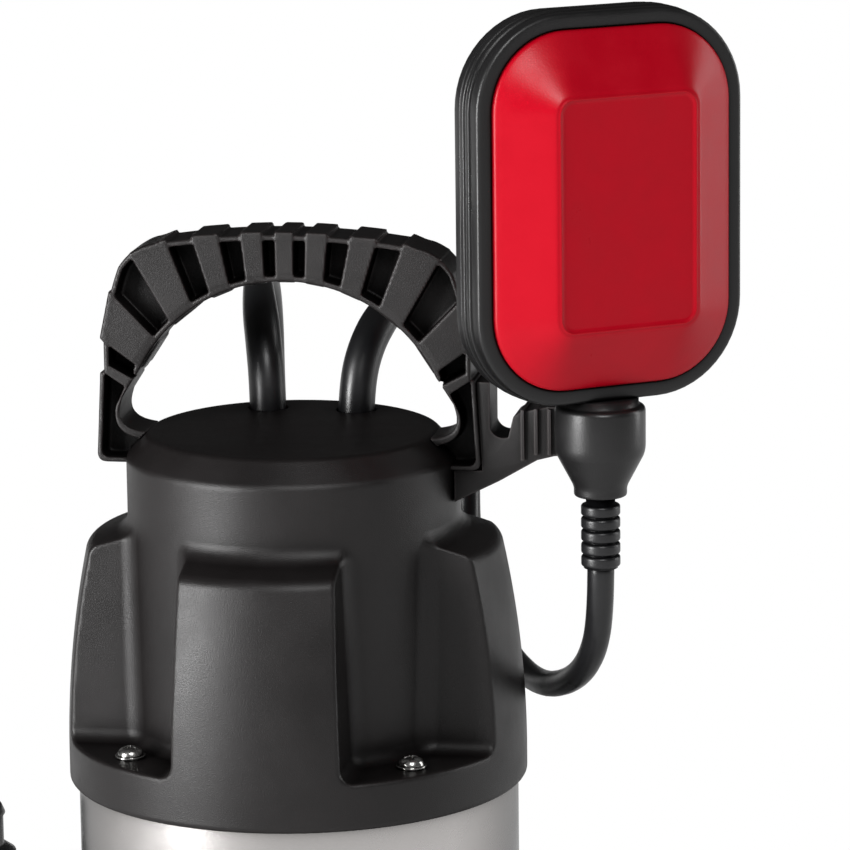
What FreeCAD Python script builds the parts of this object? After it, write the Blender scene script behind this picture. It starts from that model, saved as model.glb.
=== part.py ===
import FreeCAD, Part
import Sketcher
import math
import os

"""Submersible sump pump with a float switch, in millimetres.

The pump stands on its strainer base at z = 0, on the rotor's axis. The handle's arch lies across X
and the float hangs in front of its right foot. Everything is driven by the sheet called Sizes.
"""

os.makedirs("parts", exist_ok=True)
doc = FreeCAD.newDocument("sump_pump")

# Driving dimensions -----------------------------------------------------------------------------

dimensions = {
    # strainer base
    "base_radius": 86, "base_floor": 4, "base_wall_low_radius": 84, "base_wall_high_radius": 81,
    "base_wall": 3.2, "base_height": 34, "base_rim_radius": 82.5, "base_rim_height": 4,
    "base_rim_inner": 66, "slot_width": 4, "slot_low": 8, "slot_high": 26, "slot_count": 36,
    "base_screw_circle": 77.5, "base_boss_radius": 5.5, "base_screw_radius": 2,
    "base_screw_head_radius": 4, "base_screw_head": 2.6, "screw_count": 4, "screw_angle": 45,
    # suction plate and pump casing
    "suction_plate": 4, "suction_plate_radius": 81, "eye_radius": 20, "wear_ring_radius": 23,
    "wear_ring_height": 4.5, "casing_flange": 4, "volute_start_radius": 50, "volute_step": 7,
    "volute_wall": 3.3, "chamber_height": 34, "volute_height": 44, "socket_web": 4, "socket_height": 10,
    "socket_lip_depth": 6,
    "outlet_radius": 14, "outlet_wall": 3.5, "outlet_thread_radius": 20.95,
    "outlet_thread_start": 76, "outlet_end": 92, "rib_thickness": 3, "rib_reach": 79,
    "shaft_hole_radius": 14,
    # outlet fittings
    "gasket_thickness": 1.5, "elbow_collar": 5.5, "elbow_collar_radius": 20.5,
    "elbow_lead": 8, "elbow_bend_radius": 30, "elbow_riser": 14,
    "nut_radius": 26, "nut_lobe_radius": 3.5, "nut_lobe_count": 10, "nut_overlap": 13,
    "nut_lip": 3, "adapter_hex": 44, "adapter_hex_height": 12, "adapter_bore_radius": 11,
    "adapter_first_radius": 19, "adapter_second_radius": 16, "adapter_third_radius": 12.5,
    "adapter_step": 14, "adapter_barb": 0.8,
    # motor jacket and cover
    "jacket_radius": 73, "jacket_wall": 1, "seal_thickness": 1.5, "ring_radius": 76,
    "ring_base": 180, "ring_height": 15.5, "ring_web": 5.5, "socket_lip": 3,
    "core_radius": 54.8, "core_height": 108, "cover_height": 116, "top_radius": 47.5,
    "cover_wall": 3.2, "top_line_radius": 46.5, "top_line": 0.6, "wing_half_width": 27.7,
    "wing_draft": 2, "wing_arc_radius": 330, "wing_tangent_height": 8, "wing_top_height": 80,
    "wing_root_height": 84.5, "wing_count": 4, "wing_core_inner": 57.8, "wing_core_outer": 64.3,
    "wing_core_half_width": 22.5, "wing_core_top": 74, "wing_rounding": 2.6, "wing_fillet": 4,
    "bolt_circle": 65.5, "bolt_radius": 2.4,
    "bolt_hole_radius": 2.7, "bolt_head_radius": 4.3, "bolt_head_height": 2.8,
    "washer_radius": 5, "washer_thickness": 1, "bolt_depth": 9,
    # carry handle
    "handle_half_depth": 9.5, "handle_centre": 111.5, "handle_inner_radius": 55,
    "handle_top": 181.8, "handle_crown_radius": 262, "handle_crown_half": 46,
    "handle_crown_edge": 177.8, "handle_corner_radius": 11, "handle_corner_x": 55.4,
    "handle_corner_z": 166.6, "handle_side_radius": 36, "handle_side_x": 60.9,
    "handle_side_z": 147.6, "foot_top": 135.3, "foot_step_x": 62.3, "foot_bottom_x": 64,
    "foot_bottom": 105.2, "handle_lip": 2.2, "handle_web": 4, "block_proud": 1.2,
    "foot_inner_z": 124, "foot_inner_x": 53.6, "foot_toe_z": 115.4, "foot_toe_x": 49.2,
    "grip_crown": 3.2, "grip_one_low": 6.7, "grip_one_high": 13.6, "grip_one_near": 7.1,
    "grip_one_far": 14.7, "grip_two_low": 19.1, "grip_two_high": 26.8, "grip_two_near": 21.8,
    "grip_two_far": 31, "grip_three_low": 33.8, "grip_three_high": 43.8, "grip_three_near": 39.3,
    "grip_three_far": 51.6, "grip_three_far_z": 174.8, "grip_four_low": 51,
    "grip_four_high": 62.7, "grip_four_near": 58.6, "grip_four_near_z": 162.6,
    "grip_four_far": 62.1, "grip_four_far_z": 146.4, "grip_inset": 0.7,
    "gusset_reach": 3, "gusset_height": 5.2,
    # float holder arm
    "holder_half_depth": 8, "holder_reach": 98, "holder_slot": 8, "holder_slot_depth": 12,
    "holder_top": 126.8, "holder_low": 110.6, "holder_rib": 1.1, "holder_rib_count": 5,
    "holder_rib_pitch": 4.4, "holder_rib_x": 77, "holder_rib_width": 1.2, "holder_root": 94.4,
    "holder_shin_x": 69.6, "holder_shin": 101.8, "holder_knee_x": 82.2, "holder_knee": 109.1,
    "holder_flat_x": 88, "holder_crest_x": 86, "holder_brow_x": 76.8, "holder_nose_x": 74.4,
    "holder_nose": 123.2, "holder_notch_x": 72.7, "holder_notch": 116.4,
    "holder_notch_radius": 4.6, "holder_wall_x": 66.8, "holder_wall": 134.5,
    # cable sleeves and cords
    "sleeve_radius": 6.2, "sleeve_clearance": 0.1, "sleeve_x": 15, "sleeve_y": 32.5, "cord_radius": 4.35,
    "coil_radius": 78, "coil_width": 44, "coil_height": 36, "coil_x": -20, "coil_y": 200,
    "coil_edge": 9,
    # float switch
    "float_x": 106, "float_y": -31, "float_angle": 35, "float_width": 93, "float_height": 124,
    "float_corner": 30, "rim_depth": 17, "rim_width": 5, "rim_groove": 0.8,
    "shell_bulge": 12, "panel_width": 50, "panel_height": 76, "panel_corner": 6,
    "shell_wall": 2.4, "shell_edge": 1.5, "shell_fit": 0.05, "float_bottom": 135.5, "neck_radius": 12.3,
    "neck_length": 2.6, "collar_radius": 14.5, "collar_length": 15, "cone_radius": 8.5,
    "cone_length": 11.5, "cone_end": 3, "boot_radius": 6.3, "boot_length": 20.8,
    "boot_gap": 2.8, "boot_rib_count": 5, "boot_rib_groove": 1.1, "boot_rib_width": 1.5,
    "boot_bore_radius": 4.7, "boot_socket": 14,
    "switch_length": 40, "switch_width": 22, "switch_depth": 16, "ball_radius": 5,
    "ball_travel": 12,
    # motor
    "can_radius": 60, "can_wall": 1.2, "can_top": 186, "housing_floor": 6, "spigot": 6,
    "stator_base": 118, "stator_top": 162, "stator_bore_radius": 30.5, "winding_inner": 34,
    "winding_outer": 54, "winding_height": 14, "rotor_radius": 30, "rotor_ring": 6,
    "rotor_ring_radius": 27, "lower_bearing_base": 96, "lower_bearing_height": 10,
    "lower_bearing_radius": 16, "shaft_radius": 6, "shaft_core_radius": 8,
    "upper_bearing_base": 189.5, "upper_bearing_height": 9, "upper_bearing_radius": 15,
    "shaft_top_radius": 5, "shaft_top": 201, "shaft_thread_radius": 4, "shaft_bottom": 44,
    "running_clearance": 0.03, "seal_seat_radius": 13, "seal_seat_base": 82,
    "seal_seat_height": 7, "seal_head_radius": 11.5, "seal_head_base": 73,
    "hub_radius": 24, "upper_hub_radius": 19.5, "capacitor_radius": 15,
    "capacitor_height": 62, "capacitor_x": -31, "capacitor_y": -17.3,
    "terminal_length": 40, "terminal_width": 16, "terminal_height": 18, "terminal_y": 2,
    # impeller
    "impeller_radius": 44, "impeller_hub_radius": 10, "impeller_base": 50,
    "impeller_shroud_base": 66, "impeller_shroud": 3, "vane_base": 45, "vane_count": 6,
    "vane_inner_radius": 14, "vane_curve": 30, "vane_thickness": 3, "nut_across": 13,
    "nut_height": 5.4,
    # mains plug
    "plug_radius": 18.5, "plug_body": 16, "plug_neck_radius": 8, "plug_length": 42,
    "plug_pin_radius": 2.4, "plug_pin_length": 19, "plug_pin_pitch": 19,
}

sheet = doc.addObject("Spreadsheet::Sheet", "Sizes")
for row, (name, number) in enumerate(dimensions.items(), 1):
    sheet.set(f"A{row}", name)
    sheet.set(f"B{row}", str(number))
    sheet.setAlias(f"B{row}", name)
doc.recompute()


class Size:
    """A number that knows the expression which ties it to the sheet."""

    def __init__(self, value, text):
        self.value = value
        self.text = text

    def __add__(self, other):
        other = size(other)
        return Size(self.value + other.value, f"({self.text} + {other.text})")

    def __sub__(self, other):
        other = size(other)
        return Size(self.value - other.value, f"({self.text} - {other.text})")

    def __mul__(self, other):
        other = size(other)
        return Size(self.value * other.value, f"({self.text} * {other.text})")

    def __truediv__(self, other):
        other = size(other)
        return Size(self.value / other.value, f"({self.text} / {other.text})")

    def __neg__(self):
        return Size(-self.value, f"(-{self.text})")


def size(number):
    return number if isinstance(number, Size) else Size(number, repr(float(number)))


def turned(radius, degrees):
    """The point at a radius and an angle from local x."""
    degrees = size(degrees)
    angle = math.radians(degrees.value)
    cosine = Size(math.cos(angle), f"cos({degrees.text} * 1 deg)")
    sine = Size(math.sin(angle), f"sin({degrees.text} * 1 deg)")
    return radius * cosine, radius * sine


def across(radius, offset):
    """How far a circle reaches along one axis at an offset on the other."""
    radius, offset = size(radius), size(offset)
    reach = math.sqrt(radius.value**2 - offset.value**2)
    return Size(reach, f"sqrt({radius.text}^2 - {offset.text}^2)")


d = type("Sheet", (), {n: Size(float(sheet.get(n)), f"Sizes.{n}") for n in dimensions})
zero = size(0)

# Construction helpers ---------------------------------------------------------------------------

made = []


def keep(thing, label):
    """Names a finished piece and lists it for export."""
    thing.Label = label
    made.append(thing)
    return thing


def new_body(label):
    body = doc.addObject("PartDesign::Body", "Body_" + label)
    return keep(body, label)


def sketch_on(body, plane, offset=zero, name="Sketch"):
    """An empty sketch on one of the body's own planes, moved along the plane's normal."""
    sketch = body.newObject("Sketcher::SketchObject", name)
    origin = next(f for f in body.Origin.OriginFeatures if f.Role == plane)
    sketch.AttachmentSupport = [(origin, "")]
    sketch.MapMode = "FlatFace"
    sketch.setExpression("AttachmentOffset.Base.z", size(offset).text)
    return sketch


def tie(sketch, geometry, point, place):
    """Holds a sketch point at a place measured from the sketch's origin."""
    for kind, along in zip(("DistanceX", "DistanceY"), place):
        along = size(along)
        number = sketch.addConstraint(Sketcher.Constraint(kind, geometry, point, along.value))
        sketch.setExpression(f"Constraints[{number}]", along.text)


def flat(place):
    return FreeCAD.Vector(size(place[0]).value, size(place[1]).value, 0)


def draw(sketch, start, *steps):
    """Adds a closed outline. Each step is the next point, or (x, y, radius) where an arc leads there.

    A positive radius curves to the left of the way along, and a negative one to the right. A last
    step that comes back to the start closes the outline with an arc.
    """
    closing = start
    if flat(steps[-1]).isEqual(flat(start), 1e-6):
        *steps, closing = steps
    ends, at = [], start
    for step in [*steps, closing]:
        a, b = flat(at), flat(step)
        if len(step) == 3:
            radius = size(step[2])
            half, side = (b - a) / 2, math.copysign(1, radius.value)
            rise = math.sqrt(max(radius.value**2 - half.Length**2, 0))
            centre = a + half + FreeCAD.Vector(-half.y, half.x, 0).normalize() * rise * side
            circle = Part.Circle(centre, FreeCAD.Vector(0, 0, 1), abs(radius.value))
            low, high = (a, b) if side > 0 else (b, a)
            arc = Part.ArcOfCircle(circle, circle.parameter(low), circle.parameter(high))
            number = sketch.addGeometry(arc)
            grip = sketch.addConstraint(Sketcher.Constraint("Radius", number, abs(radius.value)))
            sketch.setExpression(f"Constraints[{grip}]", radius.text if side > 0 else (-radius).text)
            ends.append((number, 1, 2) if side > 0 else (number, 2, 1))
        else:
            ends.append((sketch.addGeometry(Part.LineSegment(a, b)), 1, 2))
        at = step
    for index, (number, begin, _) in enumerate(ends):
        before, _, end = ends[index - 1]
        sketch.addConstraint(Sketcher.Constraint("Coincident", before, end, number, begin))
        tie(sketch, number, begin, (start, *steps)[index][:2])
    return sketch


def circle(sketch, place, radius):
    radius = size(radius)
    around = Part.Circle(flat(place), FreeCAD.Vector(0, 0, 1), radius.value)
    number = sketch.addGeometry(around)
    tie(sketch, number, 3, place)
    grip = sketch.addConstraint(Sketcher.Constraint("Radius", number, radius.value))
    sketch.setExpression(f"Constraints[{grip}]", radius.text)
    return sketch


def rectangle(sketch, low, high):
    return draw(sketch, low, (high[0], low[1]), high, (low[0], high[1]))


def rounded(sketch, width, height, radius):
    """A rectangle with round corners about the sketch's origin."""
    x, y = width / 2, height / 2
    corner = size(radius)
    return draw(
        sketch, (-x + corner, -y), (x - corner, -y), (x, -y + corner, corner),
        (x, y - corner), (x - corner, y, corner), (-x + corner, y),
        (-x, y - corner, corner), (-x, -y + corner), (-x + corner, -y, corner),
    )


def feature(body, kind, name, sketch=None, **settings):
    """A PartDesign feature, with numbers and Size values bound by expression."""
    made_feature = body.newObject("PartDesign::" + kind, name)
    if sketch is not None:
        made_feature.Profile = sketch
        sketch.Visibility = False
    for setting, value in settings.items():
        if isinstance(value, Size):
            made_feature.setExpression(setting, value.text)
        else:
            setattr(made_feature, setting, value)
    return made_feature


def pad(body, sketch, length, name="Pad", **settings):
    return feature(body, "Pad", name, sketch, Length=size(length), **settings)


def pocket(body, sketch, length, name="Pocket", **settings):
    """Cuts the profile, and fails where the cut takes nothing away."""
    doc.recompute()
    before = body.Shape.Volume
    cut = feature(body, "Pocket", name, sketch, Length=size(length), **settings)
    doc.recompute()
    if body.Shape.Volume > before - 1:
        raise ValueError(f"{name} in {body.Label} cuts nothing")
    return cut


def revolve(body, sketch, name="Revolution", kind="Revolution"):
    return feature(
        body, kind, name, sketch, ReferenceAxis=(sketch, ["V_Axis"]), Angle=360.0
    )


def around(body, original, count, name="PolarPattern"):
    """Repeats a feature evenly around Z."""
    axis = next(f for f in body.Origin.OriginFeatures if f.Role == "Z_Axis")
    pattern = body.newObject("PartDesign::PolarPattern", name)
    pattern.Originals = [original]
    pattern.Axis = (axis, [""])
    pattern.Angle = 360.0
    pattern.setExpression("Occurrences", size(count).text)
    body.Tip = pattern
    return pattern


def edges_of(body, wanted):
    """The names of the edges for which wanted(edge, middle point) holds."""
    doc.recompute()
    names = []
    for number, edge in enumerate(body.Shape.Edges, 1):
        middle = edge.valueAt((edge.FirstParameter + edge.LastParameter) / 2)
        if wanted(edge, middle):
            names.append(f"Edge{number}")
    return names


def soften(body, radius, wanted, kind="Fillet"):
    """Rounds or chamfers the chosen edges of the body's last feature."""
    names = edges_of(body, wanted)
    setting = {"Fillet": "Radius", "Chamfer": "Size"}[kind]
    return feature(body, kind, kind, Base=(body.Tip, names), **{setting: size(radius)})


def turned_body(label, start, *steps):
    """A body turned about Z from an outline of radius and height."""
    body = new_body(label)
    revolve(body, draw(sketch_on(body, "XZ_Plane"), start, *steps))
    return body


def ring_body(label, inner, outer, low, high):
    return turned_body(label, (inner, low), (outer, low), (outer, high), (inner, high))


def place(thing, x=zero, y=zero, z=zero, angle=zero):
    """Binds a sub-part's position and its turn about Z."""
    thing.Placement = FreeCAD.Placement(
        FreeCAD.Vector(size(x).value, size(y).value, size(z).value),
        FreeCAD.Rotation(FreeCAD.Vector(0, 0, 1), size(angle).value),
    )
    for part, along in (("Base.x", x), ("Base.y", y), ("Base.z", z)):
        thing.setExpression("Placement." + part, size(along).text)
    return thing


def primitive(kind, name, **settings):
    """A Part primitive whose sizes and place are bound to the sheet."""
    thing = doc.addObject("Part::" + kind, name)
    for setting, value in settings.items():
        if isinstance(value, Size):
            thing.setExpression(setting.replace("_", "."), value.text)
        else:
            setattr(thing, setting, value)
    return thing


def boolean(kind, name, **pieces):
    thing = doc.addObject("Part::" + kind, name)
    for role, piece in pieces.items():
        setattr(thing, role, piece)
    return thing


def group_of(label, pieces):
    return keep(boolean("Compound", label, Links=pieces), label)


def route(label, points):
    """A wire of straight runs joined by tangent arcs through the route's points."""
    points = [FreeCAD.Vector(*p) for p in points]
    edges, at, tightest = [], points[0], math.inf
    for before, corner, after in zip(points, points[1:], points[2:]):
        back, ahead = before - corner, after - corner
        shorter = min(back.Length, ahead.Length)
        turn = math.pi - back.getAngle(ahead)
        reach = 0.45 * shorter
        tightest = min(tightest, reach / math.tan(turn / 2))
        begin = corner + back.normalize() * reach
        finish = corner + ahead.normalize() * reach
        halfway = (begin + finish) / 2
        radius = reach / math.tan(turn / 2)
        centre = corner + (halfway - corner).normalize() * math.hypot(radius, reach)
        middle = centre + (corner - centre).normalize() * radius
        edges.append(Part.LineSegment(at, begin).toShape())
        edges.append(Part.Arc(begin, middle, finish).toShape())
        at = finish
    edges.append(Part.LineSegment(at, points[-1]).toShape())
    print(f"{label}: tightest radius {tightest:.1f} mm")
    return Part.Wire(edges)


def tube(label, points, radius):
    """A round solid along a route, as a Part::Feature."""
    wire = route(label, points)
    start = FreeCAD.Vector(*points[0])
    along = FreeCAD.Vector(*points[1]) - start
    section = Part.Wire(Part.Circle(start, along, radius.value).toShape())
    solid = wire.makePipeShell([section], True, False)
    ideal = math.pi * radius.value**2 * wire.Length
    print(f"{label}: {wire.Length:.0f} mm long, volume {solid.Volume / ideal:.4f} of its section")
    thing = doc.addObject("Part::Feature", "Tube_" + label)
    thing.Shape = solid
    return keep(thing, label)


def up(height):
    """A height measured from the bottom of the motor cover's ring."""
    return d.ring_base + height


# Levels of the pump end ---------------------------------------------------------------------------

plate_top = d.base_height + d.suction_plate
flange_top = plate_top + d.casing_flange
volute_top = plate_top + d.volute_height
jacket_seat = volute_top + d.socket_web
socket_top = jacket_seat + d.socket_height
web_bottom = up(d.ring_height - d.ring_web)
lid_bottom = up(d.cover_height) - d.cover_wall * 1.3
outlet_y = d.volute_start_radius + d.volute_step * 1.5
outlet_z = plate_top + d.chamber_height / 2 + 2


# Strainer base --------------------------------------------------------------------------------


def strainer_base():
    """The foot: a flat floor, a leaning wall with suction slots and a rim that carries the casing."""
    body = new_body("strainer_base")
    rim_bottom = d.base_height - d.base_rim_height
    wall_top = d.base_wall_high_radius - d.base_wall
    revolve(body, draw(
        sketch_on(body, "XZ_Plane"), (zero, zero), (d.base_radius, zero),
        (d.base_radius, d.base_floor), (d.base_wall_low_radius, d.base_floor + 2),
        (d.base_wall_high_radius, rim_bottom), (d.base_rim_radius, rim_bottom),
        (d.base_rim_radius, d.base_height), (d.base_rim_inner, d.base_height),
        (d.base_rim_inner, rim_bottom), (wall_top, rim_bottom),
        (d.base_wall_low_radius - d.base_wall, d.base_floor), (zero, d.base_floor),
    ))
    half = d.slot_width / 2
    slot = rectangle(sketch_on(body, "XZ_Plane"), (-half, d.slot_low), (half, d.slot_high))
    around(body, pocket(body, slot, d.base_radius, Reversed=False), d.slot_count)
    place_of_screw = turned(d.base_screw_circle, d.screw_angle)
    boss = circle(sketch_on(body, "XY_Plane", d.base_floor), place_of_screw, d.base_boss_radius)
    around(body, pad(body, boss, rim_bottom - d.base_floor), d.screw_count)
    hole = circle(sketch_on(body, "XY_Plane"), place_of_screw, d.base_screw_radius + 0.2)
    around(body, pocket(body, hole, d.base_height, Reversed=True), d.screw_count)
    head = circle(sketch_on(body, "XY_Plane"), place_of_screw, d.base_screw_head_radius + 0.4)
    around(body, pocket(body, head, d.base_screw_head + 0.4, Reversed=True), d.screw_count)


def screws(label, circle_radius, angle, count, shank, head, low, high, head_height, down):
    """A ring of pan-head screws along Z. The head is at the low end where down is true."""
    pieces = []
    for number in range(int(count.value)):
        x, y = turned(circle_radius, angle + 360 * number / count.value)
        shaft = primitive(
            "Cylinder", "Shank", Radius=shank, Height=high - low,
            Placement_Base_x=x, Placement_Base_y=y, Placement_Base_z=low,
        )
        level = low - head_height if down else high
        cap = primitive(
            "Cylinder", "Head", Radius=head, Height=head_height,
            Placement_Base_x=x, Placement_Base_y=y, Placement_Base_z=level,
        )
        pieces.append(boolean("Fuse", "Screw", Base=shaft, Tool=cap))
    return group_of(label, pieces)


def suction_plate():
    """The wear plate with the suction eye, clamped between the base and the casing."""
    body = turned_body(
        "suction_plate", (d.eye_radius, d.base_height), (d.suction_plate_radius, d.base_height),
        (d.suction_plate_radius, plate_top), (d.wear_ring_radius, plate_top),
        (d.wear_ring_radius, plate_top + d.wear_ring_height),
        (d.eye_radius, plate_top + d.wear_ring_height),
    )
    place_of_screw = turned(d.base_screw_circle, d.screw_angle)
    hole = circle(
        sketch_on(body, "XY_Plane", d.base_height), place_of_screw, d.base_screw_radius + 0.2
    )
    around(body, pocket(body, hole, d.suction_plate, Reversed=True), d.screw_count)


# Pump casing --------------------------------------------------------------------------------------


def spiral(sketch, wall):
    """A four-centre spiral that grows by one step each quarter turn towards the outlet."""
    half, step, first = d.volute_step / 2, d.volute_step, d.volute_start_radius + wall
    second, third, fourth = first + step, first + step * 2, first + step * 3
    return draw(
        sketch, (-half, first - half), (-half - first, -half, first), (half, -half - second, second),
        (half + third, half, third), (-half, half + fourth, fourth),
    )


def pump_casing():
    """The volute with its side outlet below and the socket for the jacket above."""
    body = new_body("pump_casing")
    flange = circle(sketch_on(body, "XY_Plane", plate_top), (zero, zero), d.base_rim_radius)
    pad(body, flange, d.casing_flange)
    pad(body, spiral(sketch_on(body, "XY_Plane", plate_top), d.volute_wall), d.volute_height)
    web = circle(sketch_on(body, "XY_Plane", volute_top), (zero, zero), d.ring_radius)
    pad(body, web, d.socket_web)
    rib = rectangle(
        sketch_on(body, "XZ_Plane"), (d.volute_start_radius, plate_top), (d.rib_reach, volute_top)
    )
    ribs = around(body, pad(body, rib, d.rib_thickness, SideType="Symmetric"), 6)
    ribs.Angle, ribs.Reversed = 165.0, True
    axis = (outlet_y, outlet_z)
    pipe = circle(sketch_on(body, "YZ_Plane"), axis, d.outlet_radius + d.outlet_wall)
    pad(body, pipe, d.outlet_end, Reversed=True)
    land = circle(sketch_on(body, "YZ_Plane", -d.outlet_thread_start), axis, d.outlet_thread_radius)
    pad(body, land, d.outlet_end - d.outlet_thread_start, Reversed=True)
    place_of_screw = turned(d.base_screw_circle, d.screw_angle)
    boss = circle(sketch_on(body, "XY_Plane", plate_top), place_of_screw, d.base_boss_radius - 0.5)
    around(body, pad(body, boss, d.casing_flange * 4), d.screw_count)
    revolve(body, draw(
        sketch_on(body, "XZ_Plane"), (d.jacket_radius + 0.2, jacket_seat - 1),
        (d.ring_radius, jacket_seat - 1), (d.ring_radius, socket_top),
        (d.jacket_radius + 0.2, socket_top),
    ))
    inside = d.jacket_radius - d.jacket_wall - 0.15
    revolve(body, draw(
        sketch_on(body, "XZ_Plane"), (inside - d.socket_lip, jacket_seat - 1),
        (inside, jacket_seat - 1), (inside, jacket_seat + d.socket_lip_depth),
        (inside - d.socket_lip, jacket_seat + d.socket_lip_depth),
    ))
    chamber = spiral(sketch_on(body, "XY_Plane", plate_top), zero)
    pocket(body, chamber, d.chamber_height, Reversed=True)
    bore = circle(sketch_on(body, "YZ_Plane"), axis, d.outlet_radius)
    pocket(body, bore, d.outlet_end)
    well = circle(sketch_on(body, "XY_Plane", jacket_seat), (zero, zero), d.can_radius + 0.5)
    pocket(body, well, d.socket_web * 2)
    hole = circle(sketch_on(body, "XY_Plane", jacket_seat), (zero, zero), d.shaft_hole_radius)
    pocket(body, hole, d.volute_height)
    bolt = circle(
        sketch_on(body, "XY_Plane", jacket_seat), turned(d.bolt_circle, d.screw_angle), d.bolt_radius
    )
    around(body, pocket(body, bolt, d.bolt_depth), d.screw_count)
    screw = circle(
        sketch_on(body, "XY_Plane", plate_top), place_of_screw, d.base_screw_radius
    )
    around(body, pocket(body, screw, d.casing_flange * 3, Reversed=True), d.screw_count)


# Outlet fittings ----------------------------------------------------------------------------------


def along_outlet(thing, distance):
    """Stands a piece that was made along Z on the outlet's axis, pointing away from the pump."""
    place(thing, -distance, outlet_y, outlet_z)
    thing.Placement.Rotation = FreeCAD.Rotation(FreeCAD.Vector(0, 1, 0), -90)
    return thing


def outlet_fittings():
    """The gasket, elbow, union nut and stepped hose adapter."""
    pipe_radius = d.outlet_radius + d.outlet_wall
    gasket = ring_body(
        "outlet_gasket", d.outlet_radius, d.elbow_collar_radius, zero, d.gasket_thickness
    )
    along_outlet(gasket, d.outlet_end)

    elbow = new_body("outlet_elbow")
    collar = circle(sketch_on(elbow, "XY_Plane"), (zero, zero), d.elbow_collar_radius)
    pad(elbow, collar, d.elbow_collar)
    path = sketch_on(elbow, "XZ_Plane", name="Path")
    bend, lead = d.elbow_bend_radius, d.elbow_lead
    turn = path.addGeometry(Part.ArcOfCircle(
        Part.Circle(flat((bend, lead)), FreeCAD.Vector(0, 0, 1), bend.value), math.pi / 2, math.pi
    ))
    path.addGeometry(Part.LineSegment(flat((zero, zero)), flat((zero, lead))))
    finish = flat((bend + d.elbow_riser, lead + bend))
    path.addGeometry(Part.LineSegment(flat((bend, lead + bend)), finish))
    path.addConstraint(Sketcher.Constraint("Coincident", 1, 2, turn, 2))
    path.addConstraint(Sketcher.Constraint("Coincident", turn, 1, 2, 1))
    tie(path, 1, 1, (zero, zero))
    tie(path, 1, 2, (zero, lead))
    tie(path, turn, 3, (bend, lead))
    tie(path, 2, 2, (bend + d.elbow_riser, lead + bend))
    rise = path.addConstraint(Sketcher.Constraint("DistanceX", 2, 1, bend.value))
    path.setExpression(f"Constraints[{rise}]", bend.text)
    for kind, radius in (("AdditivePipe", pipe_radius), ("SubtractivePipe", d.outlet_radius)):
        section = circle(sketch_on(elbow, "XY_Plane"), (zero, zero), radius)
        feature(elbow, kind, kind, section, Spine=(path, ["Edge1", "Edge2", "Edge3"]))
    path.Visibility = False
    along_outlet(elbow, d.outlet_end + d.gasket_thickness)

    shoulder = d.nut_overlap + d.gasket_thickness + d.elbow_collar
    nut = turned_body(
        "union_nut", (d.outlet_thread_radius + 0.15, zero), (d.nut_radius, zero),
        (d.nut_radius, shoulder), (d.nut_radius - 2, shoulder + d.nut_lip),
        (pipe_radius + 0.2, shoulder + d.nut_lip), (pipe_radius + 0.2, shoulder),
        (d.outlet_thread_radius + 0.15, shoulder),
    )
    lobe = circle(sketch_on(nut, "XY_Plane"), (d.nut_radius, zero), d.nut_lobe_radius)
    around(nut, pad(nut, lobe, shoulder), d.nut_lobe_count)
    clear = circle(sketch_on(nut, "XY_Plane"), (zero, zero), d.outlet_thread_radius + 0.15)
    feature(nut, "Pocket", "Clear", clear, Length=shoulder, Reversed=True)
    along_outlet(nut, d.outlet_end - d.nut_overlap)

    adapter = new_body("hose_adapter")
    step, bore = d.adapter_step, d.adapter_bore_radius
    first, second, third = d.adapter_first_radius, d.adapter_second_radius, d.adapter_third_radius
    barb, hexagon = d.adapter_barb, d.adapter_hex_height
    socket = d.elbow_riser - 4
    revolve(adapter, draw(
        sketch_on(adapter, "XZ_Plane"), (pipe_radius + 0.02, zero), (d.adapter_hex / 2, zero),
        (d.adapter_hex / 2, hexagon), (first, hexagon), (first, hexagon + step - 5),
        (first + barb, hexagon + step - 4), (second, hexagon + step),
        (second, hexagon + step * 2 - 4), (second + barb, hexagon + step * 2 - 3),
        (third, hexagon + step * 2), (third, hexagon + step * 3 - 4),
        (third + barb, hexagon + step * 3 - 3), (third - 0.5, hexagon + step * 3),
        (bore, hexagon + step * 3), (bore, socket), (pipe_radius + 0.02, socket),
    ))
    prism = sketch_on(adapter, "XY_Plane")
    corner = d.adapter_hex / math.sqrt(3)
    corners = [turned(corner, 60 * number) for number in range(6)]
    draw(prism, *corners)
    pad(adapter, prism, hexagon)
    clear = circle(sketch_on(adapter, "XY_Plane"), (zero, zero), pipe_radius + 0.02)
    pocket(adapter, clear, socket, Reversed=True)
    through = circle(sketch_on(adapter, "XY_Plane"), (zero, zero), bore)
    feature(adapter, "Pocket", "Through", through, Length=hexagon, Reversed=True)
    riser = d.outlet_end + d.gasket_thickness + d.elbow_lead + d.elbow_bend_radius
    place(adapter, -riser, outlet_y, outlet_z + d.elbow_bend_radius + d.elbow_riser - socket)


# Motor jacket and cover ---------------------------------------------------------------------------


def motor_jacket():
    """The stainless tube between the casing and the motor cover, with a flat seal at each end."""
    inner, outer, seal = d.jacket_radius - d.jacket_wall, d.jacket_radius, d.seal_thickness
    ring_body("lower_jacket_seal", inner, outer, jacket_seat, jacket_seat + seal)
    ring_body("motor_jacket", inner, outer, jacket_seat + seal, web_bottom - seal)
    ring_body("upper_jacket_seal", inner, outer, web_bottom - seal, web_bottom)


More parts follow.
